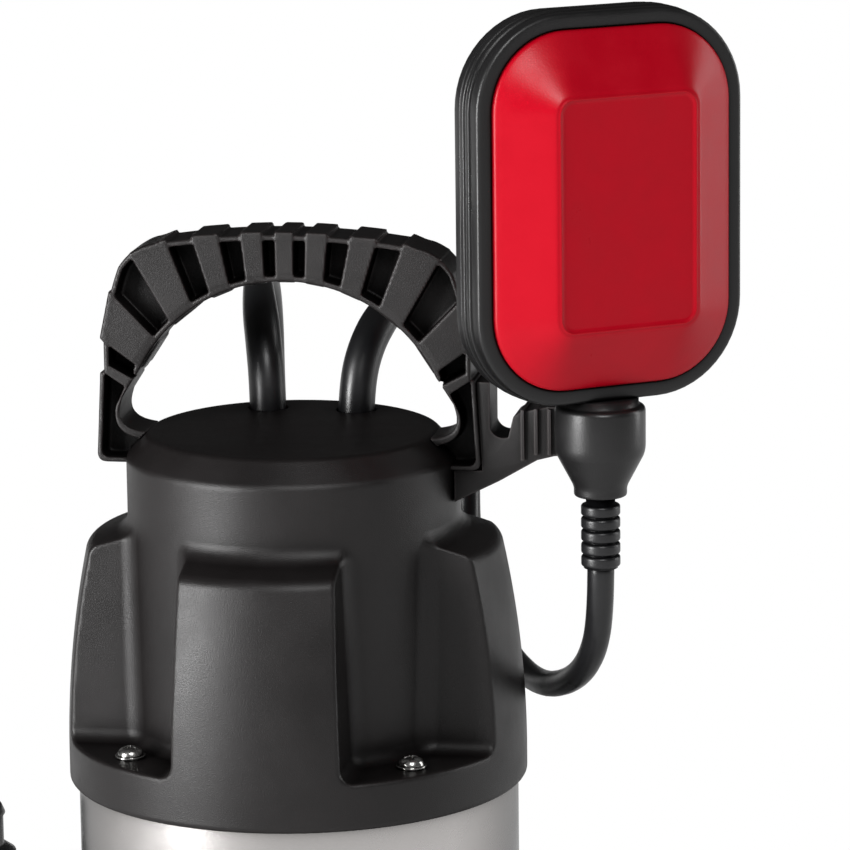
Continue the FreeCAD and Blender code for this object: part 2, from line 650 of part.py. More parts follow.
def motor_cover():
    """The moulded top: a ring, a drum with a chamfered crown and four hollow wings."""
    body = new_body("motor_cover")
    inside = d.jacket_radius - d.jacket_wall - 0.15
    outside = d.jacket_radius + 0.2
    drum, ring, ledge, top = d.core_radius, d.ring_radius, up(d.ring_height), up(d.cover_height)
    cavity, line = drum - d.cover_wall, d.top_line
    revolve(body, draw(
        sketch_on(body, "XZ_Plane"), (zero, lid_bottom), (d.top_radius - 1.5, lid_bottom),
        (cavity, up(d.core_height) - 3), (cavity, web_bottom),
        (inside - d.socket_lip, web_bottom),
        (inside - d.socket_lip, web_bottom - d.socket_lip_depth),
        (inside, web_bottom - d.socket_lip_depth), (inside, web_bottom), (outside, web_bottom),
        (outside, d.ring_base), (ring - 1.4, d.ring_base), (ring, d.ring_base + 1.4, size(1.4)),
        (ring, ledge - 1), (ring - 1, ledge, size(1)), (drum, ledge), (drum, up(d.core_height)),
        (d.top_radius, top), (d.top_line_radius + line, top),
        (d.top_line_radius + line, top - line), (d.top_line_radius, top - line),
        (d.top_line_radius, top), (zero, top),
    ))
    arc, start = d.wing_arc_radius, d.wing_tangent_height
    end = across(arc, d.wing_top_height - start) - arc + ring
    skirt = across(arc, d.ring_height - start) - arc + ring
    revolve(body, draw(
        sketch_on(body, "XZ_Plane"), (drum - 1, ledge), (skirt, ledge),
        (end, up(d.wing_top_height), arc), (drum - 1, up(d.wing_root_height)),
    ), name="Wings")
    half = d.wing_half_width
    near, far = across(drum, half), ring + 10
    corner = draw(
        sketch_on(body, "XY_Plane", ledge), (half, near), (half, far), (far, far), (far, half),
        (near, half), (half, near, drum),
    )
    corners = around(
        body, pocket(body, corner, d.core_height - d.ring_height - 5, Reversed=True), d.wing_count
    )
    doc.recompute()
    sides = []
    for number, face in enumerate(body.Shape.Faces, 1):
        normal, middle = face.normalAt(0, 0), face.CenterOfMass
        flat_side = isinstance(face.Surface, Part.Plane) and abs(normal.z) < 0.01
        if flat_side and math.hypot(middle.x, middle.y) > drum.value:
            sides.append(f"Face{number}")
    bottom = next(
        f"Face{number}" for number, face in enumerate(body.Shape.Faces, 1)
        if isinstance(face.Surface, Part.Plane) and abs(face.CenterOfMass.z - ledge.value) < 0.01
    )
    feature(
        body, "Draft", "Draft", Base=(corners, sides), Angle=d.wing_draft,
        NeutralPlane=(corners, [bottom]),
    )
    doc.recompute()

    def is_wing_rim(edge, middle):
        out = math.hypot(middle.x, middle.y) > drum.value + 3
        return out and middle.z > up(d.wing_top_height).value - 4 and middle.z < up(100).value

    def is_wing_root(edge, middle):
        out = math.hypot(middle.x, middle.y)
        long = edge.Length > (d.wing_top_height - d.ring_height).value / 2
        return long and abs(out - drum.value) < d.wing_fillet.value and middle.z > ledge.value + 1

    soften(body, d.wing_rounding, is_wing_rim)
    soften(body, d.wing_fillet, is_wing_root)

    core = rectangle(
        sketch_on(body, "XY_Plane", web_bottom), (d.wing_core_inner, -d.wing_core_half_width),
        (d.wing_core_outer, d.wing_core_half_width),
    )
    around(
        body, pocket(body, core, d.wing_core_top - d.ring_height, Reversed=True), d.wing_count
    )
    bolt = circle(
        sketch_on(body, "XY_Plane", ledge), turned(d.bolt_circle, d.screw_angle),
        d.bolt_hole_radius,
    )
    around(body, pocket(body, bolt, d.ring_web * 2), d.screw_count)
    sleeves = sketch_on(body, "XY_Plane", top)
    circle(sleeves, (d.sleeve_x, d.sleeve_y), d.sleeve_radius + d.sleeve_clearance)
    circle(sleeves, (-d.sleeve_x, d.sleeve_y), d.sleeve_radius + d.sleeve_clearance)
    pocket(body, sleeves, d.cover_wall * 2)


def cover_bolts():
    """Four long bolts that clamp cover, jacket and casing, with a washer under each head."""
    ledge = up(d.ring_height)
    washers = []
    for number in range(int(d.screw_count.value)):
        x, y = turned(d.bolt_circle, d.screw_angle + 360 * number / d.screw_count.value)
        spot = {"Placement_Base_x": x, "Placement_Base_y": y, "Placement_Base_z": ledge}
        disc = primitive("Cylinder", "Disc", Radius=d.washer_radius, Height=d.washer_thickness, **spot)
        hole = primitive("Cylinder", "Hole", Radius=d.bolt_radius, Height=d.washer_thickness, **spot)
        washers.append(boolean("Cut", "Washer", Base=disc, Tool=hole))
    group_of("cover_washers", washers)
    screws(
        "cover_bolts", d.bolt_circle, d.screw_angle, d.screw_count, d.bolt_radius - 0.02,
        d.bolt_head_radius, jacket_seat - d.bolt_depth + 0.5, ledge + d.washer_thickness,
        d.bolt_head_height, False,
    )


# Carry handle -------------------------------------------------------------------------------------


def crown_at(x):
    """The height of the handle's crown above the ring at a distance from the middle."""
    radius = d.handle_crown_radius
    return d.handle_top - radius + across(radius, x)


def arch(sketch, lip, foot):
    """The arch's outline on the right and left, drawn in by a lip, down to the given foot points."""
    crown, corner = d.handle_crown_radius - lip, d.handle_corner_radius - lip
    side, inner = d.handle_side_radius - lip, d.handle_inner_radius + lip
    crown_x, crown_z = d.handle_crown_half - lip * 0.3, up(d.handle_crown_edge - lip)
    corner_x, corner_z = d.handle_corner_x - lip, up(d.handle_corner_z - lip * 0.4)
    side_x, side_z = d.handle_side_x - lip, up(d.handle_side_z)
    low, inner_x, inner_z = foot[0], foot[-1][0], foot[-1][1]
    left = [(-x, z) for x, z in reversed(foot)]
    return draw(
        sketch, low, (side_x, side_z), (corner_x, corner_z, side), (crown_x, crown_z, corner),
        (-crown_x, crown_z, crown), (-corner_x, corner_z, corner), (-side_x, side_z, side),
        *reversed(left), (inner_x, inner_z, -inner), *reversed(foot[1:-1]),
    )


def carry_handle():
    """A fixed arch with deep grip pockets on both faces and solid blocks between them."""
    body = new_body("carry_handle")
    inner, lip, rib = d.handle_inner_radius, d.handle_lip, d.handle_lip * 0.9
    toe = core_slope(d.foot_toe_x)
    foot = [
        (d.handle_side_x, up(d.foot_top)), (d.foot_step_x, up(d.foot_top)),
        (d.foot_bottom_x, up(d.foot_bottom)), (d.core_radius, up(d.foot_bottom)),
        (d.core_radius, up(d.core_height)), (d.foot_toe_x, toe), (d.foot_toe_x, up(d.foot_toe_z)),
        (d.foot_inner_x, up(d.foot_inner_z)),
    ]
    outline = arch(sketch_on(body, "XZ_Plane"), zero, foot)
    pad(body, outline, d.handle_half_depth * 2, SideType="Symmetric")
    depth = d.handle_half_depth - d.handle_web / 2
    rib_in = across(inner + lip, d.foot_top - d.handle_centre - 5.5)
    gap_foot = [
        (d.handle_side_x - lip, up(d.foot_top + 1)), (rib_in, up(d.foot_top - 5.5)),
    ]
    box = [
        (d.foot_bottom_x - rib, up(d.foot_bottom) + rib), (d.foot_step_x - rib, up(d.foot_top - 3)),
        (d.foot_inner_x + 1, up(d.foot_inner_z + 2)), (d.foot_inner_x + 0.6, up(d.core_height + 7)),
        (d.core_radius + rib, up(d.core_height - 1)), (d.core_radius + rib, up(d.foot_bottom) + rib),
    ]
    for side in (1, -1):
        face = d.handle_half_depth * side
        arch_sketch = arch(sketch_on(body, "XZ_Plane", face, name="Grip"), lip, gap_foot)
        cut = pocket(body, arch_sketch, depth, Reversed=side < 0)
        for hand in (1, -1):
            outline = [(x * hand, z) for x, z in box]
            box_sketch = draw(sketch_on(body, "XZ_Plane", face, name="Foot"), *outline)
            pocket(body, box_sketch, depth, Reversed=side < 0)
    gusset = draw(
        sketch_on(body, "XZ_Plane", name="Gusset"), (-d.core_radius, up(d.foot_bottom)),
        (-d.core_radius - d.gusset_reach, up(d.foot_bottom)),
        (-d.core_radius, up(d.foot_bottom - d.gusset_height)),
    )
    pad(body, gusset, d.handle_web, SideType="Symmetric")
    grips(body, inner - d.grip_inset)


def core_slope(radius):
    """The height of the cover's chamfered shoulder at a radius."""
    run = (d.core_radius - radius) / (d.core_radius - d.top_radius)
    return up(d.core_height + run * (d.cover_height - d.core_height))


def grips(body, inner):
    """Nine solid blocks that stand a little proud of the arch's skin."""
    depth = d.handle_half_depth * 2 + 0.8
    centre = up(d.handle_centre)

    def on_bore(angle):
        x, z = turned(inner, size(90) - angle)
        return x, centre + z

    def on_crown(x):
        return x, up(crown_at(x)) + d.block_proud

    outer = [
        (d.grip_one_low, d.grip_one_high, on_crown(d.grip_one_near), on_crown(d.grip_one_far)),
        (d.grip_two_low, d.grip_two_high, on_crown(d.grip_two_near), on_crown(d.grip_two_far)),
        (d.grip_three_low, d.grip_three_high, on_crown(d.grip_three_near),
         (d.grip_three_far, up(d.grip_three_far_z))),
        (d.grip_four_low, d.grip_four_high, (d.grip_four_near, up(d.grip_four_near_z)),
         (d.grip_four_far, up(d.grip_four_far_z))),
    ]
    low, high = on_bore(d.grip_crown), on_crown(d.grip_crown)
    middle = draw(
        sketch_on(body, "XZ_Plane", name="Block"), low, high, (-high[0], high[1]), (-low[0], low[1])
    )
    pad(body, middle, depth, SideType="Symmetric")
    for begin, finish, near, far in outer:
        low, high = on_bore(begin), on_bore(finish)
        for hand in (1, -1):
            corners = [(x * hand, z) for x, z in (low, near, far, high)]
            block = draw(sketch_on(body, "XZ_Plane", name="Block"), *corners)
            pad(body, block, depth, SideType="Symmetric")


def float_holder():
    """The gusseted arm on the right foot, with a slot at its tip that grips the float's cable."""
    body = new_body("float_holder")
    reach, top, low = d.holder_reach, up(d.holder_top), up(d.holder_low)
    lean = (d.foot_bottom_x - d.foot_step_x) / (d.foot_top - d.foot_bottom)
    wall_foot = d.foot_step_x + lean * (d.foot_top - d.holder_wall)
    outline = draw(
        sketch_on(body, "XZ_Plane"), (d.core_radius, up(d.holder_root)),
        (d.holder_shin_x, up(d.holder_shin)), (d.holder_knee_x, up(d.holder_knee)),
        (d.holder_flat_x, low), (reach, low), (reach, top), (d.holder_crest_x, top),
        (d.holder_brow_x, top - 2), (d.holder_nose_x, up(d.holder_nose)),
        (d.holder_notch_x, up(d.holder_notch)),
        (d.holder_wall_x, up(d.holder_notch) + 3.1, -d.holder_notch_radius),
        (d.holder_wall_x, up(d.holder_wall)), (wall_foot, up(d.holder_wall)),
        (d.foot_bottom_x, up(d.foot_bottom)), (d.core_radius, up(d.foot_bottom)),
    )
    depth = d.holder_half_depth * 2
    pad(body, outline, depth, SideType="Symmetric")
    rib = rectangle(
        sketch_on(body, "XZ_Plane", name="Rib"), (d.holder_rib_x, up(d.holder_knee)),
        (d.holder_rib_x + d.holder_rib_width, top - 1),
    )
    pad(body, rib, depth + d.holder_rib * 2, SideType="Symmetric")
    for number in range(1, int(d.holder_rib_count.value)):
        x = d.holder_rib_x + d.holder_rib_pitch * number
        rib = rectangle(
            sketch_on(body, "XZ_Plane", name="Rib"), (x, low + 0.5),
            (x + d.holder_rib_width, top - 0.6),
        )
        pad(body, rib, depth + d.holder_rib * 2, SideType="Symmetric")
    half = d.holder_slot / 2
    slot = rectangle(
        sketch_on(body, "XY_Plane", top), (reach - d.holder_slot_depth, -half), (reach + 1, half)
    )
    pocket(body, slot, d.holder_top - d.holder_low + 1)


# Cords --------------------------------------------------------------------------------------------

# Each route starts inside the motor cover. The first points are the moulded sleeve's own.
power_sleeve_route = [
    (-15, 32.5, 288), (-15, 32.5, 303), (-17.5, 38.5, 319), (-21.5, 51.5, 329.5), (-24.6, 66, 332),
]
power_cord_route = [
    (-24.6, 66, 332), (-28.6, 84.7, 335.2), (-30.6, 104, 331), (-32.4, 121, 320), (-34, 132, 303),
    (-35, 137, 281), (-34, 138, 250), (-27, 135, 205), (-15, 129, 155), (-2, 122, 110),
    (-8, 121, 75), (-25, 121, 50), (-48, 127, 36), (-66, 136, 32),
]
float_sleeve_route = [
    (15, 32.5, 288), (15, 32.5, 303), (18, 39, 318.5), (24.5, 51, 329.5), (28, 64, 331.5),
]
float_cord_route = [
    (28, 64, 331.5), (33, 82.57, 334.36), (35.3, 101, 330), (36.5, 117, 319), (37, 127.5, 302),
    (37, 131.5, 280), (36, 131, 255), (38, 120, 230), (47, 100, 211), (60, 71, 202),
    (76, 38, 201), (92, 6, 212), (102, -18, 228), (106, -31, 247), (106, -31, 268),
]
plug_cord_route = [
    (-21, 286.7, 31), (9, 281, 41), (35, 261, 50), (51, 237, 54.5), (56.5, 213, 54.5),
]


def cords():
    """The two moulded sleeves, the free cords and the coil of what is left of the mains lead."""
    tube("power_cable_sleeve", power_sleeve_route, d.sleeve_radius)
    tube("float_cable_sleeve", float_sleeve_route, d.sleeve_radius)
    tube("power_cord", power_cord_route, d.cord_radius)
    tube("float_cord", float_cord_route, d.cord_radius)
    tube("plug_cord", plug_cord_route, d.cord_radius)
    inner, outer = d.coil_radius - d.coil_width / 2, d.coil_radius + d.coil_width / 2
    edge, height = d.coil_edge, d.coil_height
    coil = turned_body(
        "power_cord_coil", (inner + edge, zero), (outer - edge, zero), (outer, edge),
        (outer, height - edge), (outer - edge, height), (inner + edge, height),
        (inner, height - edge), (inner, edge),
    )
    place(coil, d.coil_x, d.coil_y)


def mains_plug():
    """A round two-pin earthed plug that lies on the coil, made along the cord's last run."""
    body = turned_body(
        "mains_plug", (zero, zero), (d.plug_radius, zero), (d.plug_radius, d.plug_body),
        (d.plug_radius - 3, d.plug_body + 6), (d.plug_neck_radius, d.plug_length - 6),
        (d.plug_neck_radius - 1, d.plug_length), (zero, d.plug_length),
    )
    pins = sketch_on(body, "XY_Plane")
    circle(pins, (d.plug_pin_pitch / 2, zero), d.plug_pin_radius)
    circle(pins, (-d.plug_pin_pitch / 2, zero), d.plug_pin_radius)
    pad(body, pins, d.plug_pin_length, Reversed=True)
    rear = FreeCAD.Vector(*plug_cord_route[-1])
    back = (FreeCAD.Vector(*plug_cord_route[-2]) - rear).normalize()
    back.z = 0
    body.Placement = FreeCAD.Placement(
        rear - back.normalize() * d.plug_length.value,
        FreeCAD.Rotation(FreeCAD.Vector(0, 0, 1), back),
    )


# Float switch -------------------------------------------------------------------------------------

float_base = up(d.float_bottom)
float_centre = float_base + d.float_height / 2
boot_mouth = float_base - d.neck_length - d.collar_length - d.cone_length - d.cone_end - (
    d.boot_gap + d.boot_length
)


def on_float(thing, height, turn=zero):
    return place(thing, d.float_x, d.float_y, height, d.float_angle + turn)


def float_rim():
    """The rubber band round the float's edge, with two grooves in its outer face."""
    body = new_body("float_rim")
    depth, groove = d.rim_depth, d.rim_groove
    width, height, corner = d.float_width, d.float_height, d.float_corner
    inset = rounded(
        sketch_on(body, "XZ_Plane"), width - groove * 2, height - groove * 2, corner - groove
    )
    pad(body, inset, depth, SideType="Symmetric")
    band = (depth - groove * 2) / 3
    for number in range(3):
        low = (band + groove) * number - depth / 2
        outline = rounded(sketch_on(body, "XZ_Plane", low), width, height, corner)
        pad(body, outline, band)
    inner = d.rim_width
    hole = rounded(
        sketch_on(body, "XZ_Plane", depth / 2), width - inner * 2, height - inner * 2, corner - inner
    )
    pocket(body, hole, depth)
    on_float(body, float_centre)


def float_shell(label, turn):
    """One half of the float's hollow moulding: a straight edge, wide bevels and a flat panel."""
    body = new_body(label)
    wall, rise = d.shell_wall, d.rim_depth / 2 + d.shell_edge
    inset = d.rim_width + d.shell_fit
    width, height = d.float_width - inset * 2, d.float_height - inset * 2
    corner, panel_depth = d.float_corner - inset, d.rim_depth / 2 + d.shell_bulge
    edge = rounded(sketch_on(body, "XZ_Plane"), width, height, corner)
    pad(body, edge, rise)
    foot = rounded(sketch_on(body, "XZ_Plane", rise), width, height, corner)
    panel = rounded(
        sketch_on(body, "XZ_Plane", panel_depth), d.panel_width, d.panel_height, d.panel_corner
    )
    feature(body, "AdditiveLoft", "Bevel", foot, Sections=[panel])
    width, height, corner = width - wall * 2, height - wall * 2, corner - wall
    inside = rounded(sketch_on(body, "XZ_Plane"), width, height, corner)
    pocket(body, inside, rise, Reversed=True)
    foot = rounded(sketch_on(body, "XZ_Plane", rise), width, height, corner)
    panel = rounded(
        sketch_on(body, "XZ_Plane", panel_depth - wall), d.panel_width - wall,
        d.panel_height - wall, d.panel_corner - wall / 2,
    )
    feature(body, "SubtractiveLoft", "Hollow", foot, Sections=[panel])
    on_float(body, float_centre, size(turn))


def float_tail():
    """The cable gland under the float and the ribbed bend boot that hangs from it."""
    neck = float_base - d.neck_length
    collar = neck - d.collar_length
    cone = collar - d.cone_length
    bottom = cone - d.cone_end
    gland = turned_body(
        "float_gland", (zero, float_base), (d.neck_radius, float_base), (d.neck_radius, neck),
        (d.collar_radius, neck), (d.collar_radius, collar), (d.cone_radius, cone),
        (d.cone_radius, bottom), (zero, bottom),
    )
    on_float(gland, zero)
    top = bottom - d.boot_gap
    bore, radius, step = d.boot_bore_radius, d.boot_radius, d.boot_rib_groove
    pitch = d.boot_length / d.boot_rib_count
    outline = [(zero, bottom), (radius - step * 1.5, bottom), (radius - step * 1.5, top)]
    for number in range(int(d.boot_rib_count.value)):
        level = top - pitch * number
        outline += [
            (radius, level), (radius, level - pitch + d.boot_rib_width),
            (radius - step, level - pitch + d.boot_rib_width), (radius - step, level - pitch),
        ]
    socket = boot_mouth + d.boot_socket
    outline += [(bore, boot_mouth), (bore, socket), (zero, socket)]
    boot = turned_body("float_bend_boot", *outline)
    on_float(boot, zero)


def float_contents():
    """The switch inside the float: a track where a steel ball rolls against a micro switch."""
    base = float_base + d.rim_width + d.shell_fit + d.shell_wall
    radius, bore = d.switch_depth / 2, d.ball_radius + 0.3
    track = turned_body(
        "ball_track", (zero, zero), (radius, zero), (radius, d.ball_radius * 2 + d.ball_travel + 4),
        (bore, d.ball_radius * 2 + d.ball_travel + 4), (bore, size(2)), (zero, size(2)),
    )
    on_float(track, base)
    ball = keep(primitive("Sphere", "Ball", Radius=d.ball_radius), "switch_ball")
    on_float(ball, base + 2 + d.ball_radius)
    case = new_body("micro_switch")
    half_width, half_depth = d.switch_width / 2, d.switch_depth / 2
    outline = rectangle(
        sketch_on(case, "XY_Plane"), (-half_width, -half_depth), (half_width, half_depth)
    )
    pad(case, outline, d.switch_length / 2)
    on_float(case, base + d.ball_radius * 2 + d.ball_travel + 4)


# Motor --------------------------------------------------------------------------------------------


def motor():
    """The sealed motor: its can, stator, end windings and the two bearing carriers."""
    can, wall, floor = d.can_radius, d.can_wall, jacket_seat - d.socket_web * 2
    step, fit = floor + d.housing_floor, d.can_radius - d.can_wall - 0.1
    seat, carrier = d.seal_seat_radius, d.lower_bearing_base + d.lower_bearing_height
    shaft = d.shaft_radius + 0.6
    turned_body(
        "lower_bearing_housing", (seat, floor), (can, floor), (can, step), (fit, step),
        (fit, step + d.spigot), (d.hub_radius, step + d.spigot), (d.hub_radius, carrier),
        (d.lower_bearing_radius, carrier), (d.lower_bearing_radius, d.lower_bearing_base),
        (shaft, d.lower_bearing_base), (shaft, d.seal_seat_base + d.seal_seat_height),
        (seat, d.seal_seat_base + d.seal_seat_height),
    )
    ring_body("motor_can", can - wall, can, step, d.can_top)
    hub, bearing_top = d.upper_hub_radius, d.upper_bearing_base + d.upper_bearing_height
    turned_body(
        "upper_bearing_bracket", (d.upper_bearing_radius, d.can_top),
        (fit - d.spigot, d.can_top), (fit - d.spigot, d.can_top - d.spigot),
        (fit, d.can_top - d.spigot), (fit, d.can_top), (can, d.can_top), (can, web_bottom),
        (hub, web_bottom), (hub, bearing_top + 2.5),
        (shaft, bearing_top + 2.5), (shaft, bearing_top), (d.upper_bearing_radius, bearing_top),
    )
    ring_body("stator_core", d.stator_bore_radius, can - wall - 0.05, d.stator_base, d.stator_top)
    windings = []
    for low in (d.stator_base - d.winding_height, d.stator_top):
        high, inner, outer = low + d.winding_height, d.winding_inner, d.winding_outer
        profile = turned_body(
            "winding", (inner + 3, low), (outer - 3, low), (outer, low + 3), (outer, high - 3),
            (outer - 3, high), (inner + 3, high), (inner, high - 3), (inner, low + 3),
        )
        made.remove(profile)
        windings.append(profile)
    group_of("stator_windings", windings)
    play = d.running_clearance
    bearing("lower_bearing", d.shaft_radius + play, d.lower_bearing_radius, d.lower_bearing_base,
            d.lower_bearing_height)
    bearing("upper_bearing", d.shaft_top_radius + play, d.upper_bearing_radius,
            d.upper_bearing_base, d.upper_bearing_height)
    ring_body(
        "seal_seat", d.shaft_radius + 0.4, seat, d.seal_seat_base,
        d.seal_seat_base + d.seal_seat_height,
    )
    capacitor = primitive(
        "Cylinder", "Capacitor", Radius=d.capacitor_radius, Height=d.capacitor_height,
        Placement_Base_x=d.capacitor_x, Placement_Base_y=d.capacitor_y,
        Placement_Base_z=web_bottom,
    )
    keep(capacitor, "run_capacitor")
    block = primitive(
        "Box", "Terminal", Length=d.terminal_length, Width=d.terminal_width,
        Height=d.terminal_height, Placement_Base_x=-d.terminal_length / 2,
        Placement_Base_y=d.terminal_y, Placement_Base_z=lid_bottom - d.terminal_height,
    )
    keep(block, "terminal_block")


def bearing(label, inner, outer, low, height):
    """A shielded ball bearing drawn as its two rings and the recessed shields between them."""
    third, high, recess = (outer - inner) / 3, low + height, size(0.6)
    turned_body(
        label, (inner, low), (inner + third, low), (inner + third, low + recess),
        (outer - third, low + recess), (outer - third, low), (outer, low), (outer, high),
        (outer - third, high), (outer - third, high - recess), (inner + third, high - recess),
        (inner + third, high), (inner, high),
    )


def rotor():
    """The shaft with the cage rotor, the turning half of the seal, the impeller and its nut."""
    shaft, core, tip = d.shaft_radius, d.shaft_core_radius, d.shaft_top_radius
    low_seat = d.lower_bearing_base + d.lower_bearing_height
    thread, hub_base = d.shaft_thread_radius, d.impeller_base
    turned_body(
        "rotor_shaft", (zero, d.shaft_bottom), (thread, d.shaft_bottom), (thread, hub_base + 4),
        (shaft, hub_base + 4), (shaft, low_seat + 0.5), (core, low_seat + 0.5),
        (core, d.upper_bearing_base - 0.5), (tip, d.upper_bearing_base - 0.5), (tip, d.shaft_top),
        (zero, d.shaft_top),
    )
    bore, ring = core, d.rotor_ring
    turned_body(
        "rotor_core", (bore, d.stator_base - ring), (d.rotor_ring_radius, d.stator_base - ring),
        (d.rotor_ring_radius, d.stator_base), (d.rotor_radius, d.stator_base),
        (d.rotor_radius, d.stator_top), (d.rotor_ring_radius, d.stator_top),
        (d.rotor_ring_radius, d.stator_top + ring), (bore, d.stator_top + ring),
    )
    ring_body("seal_head", shaft, d.seal_head_radius, d.seal_head_base, d.seal_seat_base)


def impeller():
    """A semi-open wheel: a back plate on a hub and swept vanes that face the suction eye."""
    plate, hub = d.impeller_shroud_base, d.impeller_hub_radius
    top = plate + d.impeller_shroud
    body = turned_body(
        "impeller", (d.shaft_thread_radius, d.impeller_base), (hub, d.impeller_base),
        (hub + 3, plate), (d.impeller_radius, plate), (d.impeller_radius, top), (hub, top),
        (hub, d.seal_head_base), (d.shaft_radius, d.seal_head_base),
        (d.shaft_radius, d.impeller_base + 4), (d.shaft_thread_radius, d.impeller_base + 4),
    )
    curve, inner, outer = d.vane_curve, d.vane_inner_radius, d.impeller_radius - 0.5
    root, root_back = turned(inner, 0), turned(inner, d.vane_thickness * 4)
    tip, tip_back = turned(outer, size(-50)), turned(outer, d.vane_thickness * 1.3 - 50)
    vane = draw(
        sketch_on(body, "XY_Plane", d.vane_base), root, (*tip, -curve), tip_back,
        (*root_back, curve),
    )
    around(body, pad(body, vane, plate + 0.5 - d.vane_base), d.vane_count)
    nut = new_body("impeller_nut")
    corner = d.nut_across / math.sqrt(3)
    low = d.impeller_base - d.nut_height
    draw_at = sketch_on(nut, "XY_Plane", low)
    draw(draw_at, *(turned(corner, 60 * number) for number in range(6)))
    pad(nut, draw_at, d.nut_height)
    thread = circle(sketch_on(nut, "XY_Plane", low), (zero, zero), d.shaft_thread_radius)
    pocket(nut, thread, d.nut_height, Reversed=True)


# The whole pump -----------------------------------------------------------------------------------

strainer_base()
screws(
    "base_screws", d.base_screw_circle, d.screw_angle, d.screw_count, d.base_screw_radius - 0.02,
    d.base_screw_head_radius, d.base_screw_head + 0.4, plate_top + d.casing_flange * 2.5,
    d.base_screw_head, True,
)
suction_plate()
pump_casing()
outlet_fittings()
motor_jacket()
motor_cover()
cover_bolts()
carry_handle()
float_holder()
cords()
mains_plug()
float_rim()
float_shell("float_shell_front", 0)
float_shell("float_shell_back", 180)
float_tail()
float_contents()
motor()
rotor()
impeller()
doc.recompute()

failed = [o.Name for o in doc.Objects if "Invalid" in o.State or "Error" in o.State]
failed += [p.Label for p in made if p.Shape.isNull() or not p.Shape.isValid()]
if failed:
    raise ValueError(f"these objects are broken: {failed}")
for piece in made:
    piece.Shape.exportStep(f"parts/{piece.Label}.step")
print(f"{len(made)} sub-parts written")
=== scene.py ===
import math

import bmesh
import bpy
import numpy as np
from mathutils import Matrix, Vector


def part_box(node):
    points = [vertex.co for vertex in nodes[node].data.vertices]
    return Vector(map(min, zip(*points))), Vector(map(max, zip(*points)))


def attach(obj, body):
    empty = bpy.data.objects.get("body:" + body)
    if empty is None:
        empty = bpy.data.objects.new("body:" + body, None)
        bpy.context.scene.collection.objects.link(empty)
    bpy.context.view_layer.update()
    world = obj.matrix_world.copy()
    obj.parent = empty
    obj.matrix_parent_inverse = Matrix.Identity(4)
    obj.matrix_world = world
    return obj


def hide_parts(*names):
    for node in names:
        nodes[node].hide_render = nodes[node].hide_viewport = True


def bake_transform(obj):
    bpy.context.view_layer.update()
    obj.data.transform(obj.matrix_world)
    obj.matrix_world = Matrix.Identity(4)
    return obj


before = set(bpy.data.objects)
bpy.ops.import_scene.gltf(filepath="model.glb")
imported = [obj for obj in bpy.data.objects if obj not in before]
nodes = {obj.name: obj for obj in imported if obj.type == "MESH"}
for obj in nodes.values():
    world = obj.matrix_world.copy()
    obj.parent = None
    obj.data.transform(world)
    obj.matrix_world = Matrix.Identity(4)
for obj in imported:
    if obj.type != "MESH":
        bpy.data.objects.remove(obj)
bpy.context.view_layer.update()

scene = bpy.context.scene
scene.view_settings.view_transform = "Standard"

# Camera -----------------------
# A long lens a little above the motor cover, turned ten degrees to the pump's right side. Its view
# takes in the handle, the cover and the float; the jacket's foot lies below its lower edge.


def stand(name, data):
    """A new object in the scene for a mesh, curve, lamp or camera."""
    piece = bpy.data.objects.new(name, data)
    scene.collection.objects.link(piece)
    return piece


aim, lens_distance, lens_roll = Vector((0.04269, 0.00753, 0.29655)), 1.6, -0.72
towards_lens = Vector((0.16988, -0.96344, 0.20723))
camera_data = bpy.data.cameras.new("camera")
camera_data.lens = 206.6
camera_data.clip_end = 60
camera = stand("camera", camera_data)
camera.location = aim + lens_distance * towards_lens
facing = (aim - camera.location).to_track_quat("-Z", "Y").to_matrix().to_4x4()
roll = Matrix.Rotation(math.radians(lens_roll), 4, "Z")
camera.matrix_world = Matrix.Translation(camera.location) @ facing @ roll
scene.camera = camera

# Floor and light --------------
# A pale studio sweep: a wide flat floor that keeps the pump's shadow near it and is plain white
# further off. A tall key lamp stands low on the left, a weak one behind on the right and a small
# one high in front, under a faint even sky.


def set_inputs(node, settings):
    """Gives a node's inputs their fixed values."""
    for name, value in settings.items():
        node.inputs[name].default_value = value


floor_mesh = bpy.data.meshes.new("floor")
reach, floor_drop = 14.0, 0.0006
floor_mesh.from_pydata(
    [(-reach, -reach, 0), (reach, -reach, 0), (reach, reach, 0), (-reach, reach, 0)], [],
    [(0, 1, 2, 3)],
)
floor = stand("floor", floor_mesh)
floor.location.z = -floor_drop
paper = bpy.data.materials.new("floor_paper")
paper.use_nodes = True
tree = paper.node_tree
tree.nodes.clear()
add, link = tree.nodes.new, tree.links.new
matte, glow = add("ShaderNodeBsdfDiffuse"), add("ShaderNodeEmission")
set_inputs(matte, {"Color": (0.82, 0.82, 0.82, 1)})
set_inputs(glow, {"Color": (1, 1, 1, 1)})
place, away = add("ShaderNodeNewGeometry"), add("ShaderNodeVectorMath")
away.operation = "LENGTH"
far, rays = add("ShaderNodeMapRange"), add("ShaderNodeLightPath")
set_inputs(far, {"From Min": 0.2, "From Max": 0.5})
seen, glass, share = (add("ShaderNodeMath") for number in range(3))
seen.operation, glass.operation, share.operation = "MAXIMUM", "MAXIMUM", "MULTIPLY"
blend, end = add("ShaderNodeMixShader"), add("ShaderNodeOutputMaterial")
link(place.outputs["Position"], away.inputs[0])
link(away.outputs["Value"], far.inputs["Value"])
link(rays.outputs["Is Camera Ray"], seen.inputs[0])
link(rays.outputs["Is Glossy Ray"], seen.inputs[1])
link(seen.outputs[0], glass.inputs[0])
link(rays.outputs["Is Transmission Ray"], glass.inputs[1])
link(far.outputs["Result"], share.inputs[0])
link(glass.outputs[0], share.inputs[1])
link(share.outputs[0], blend.inputs["Fac"])
link(matte.outputs[0], blend.inputs[1])
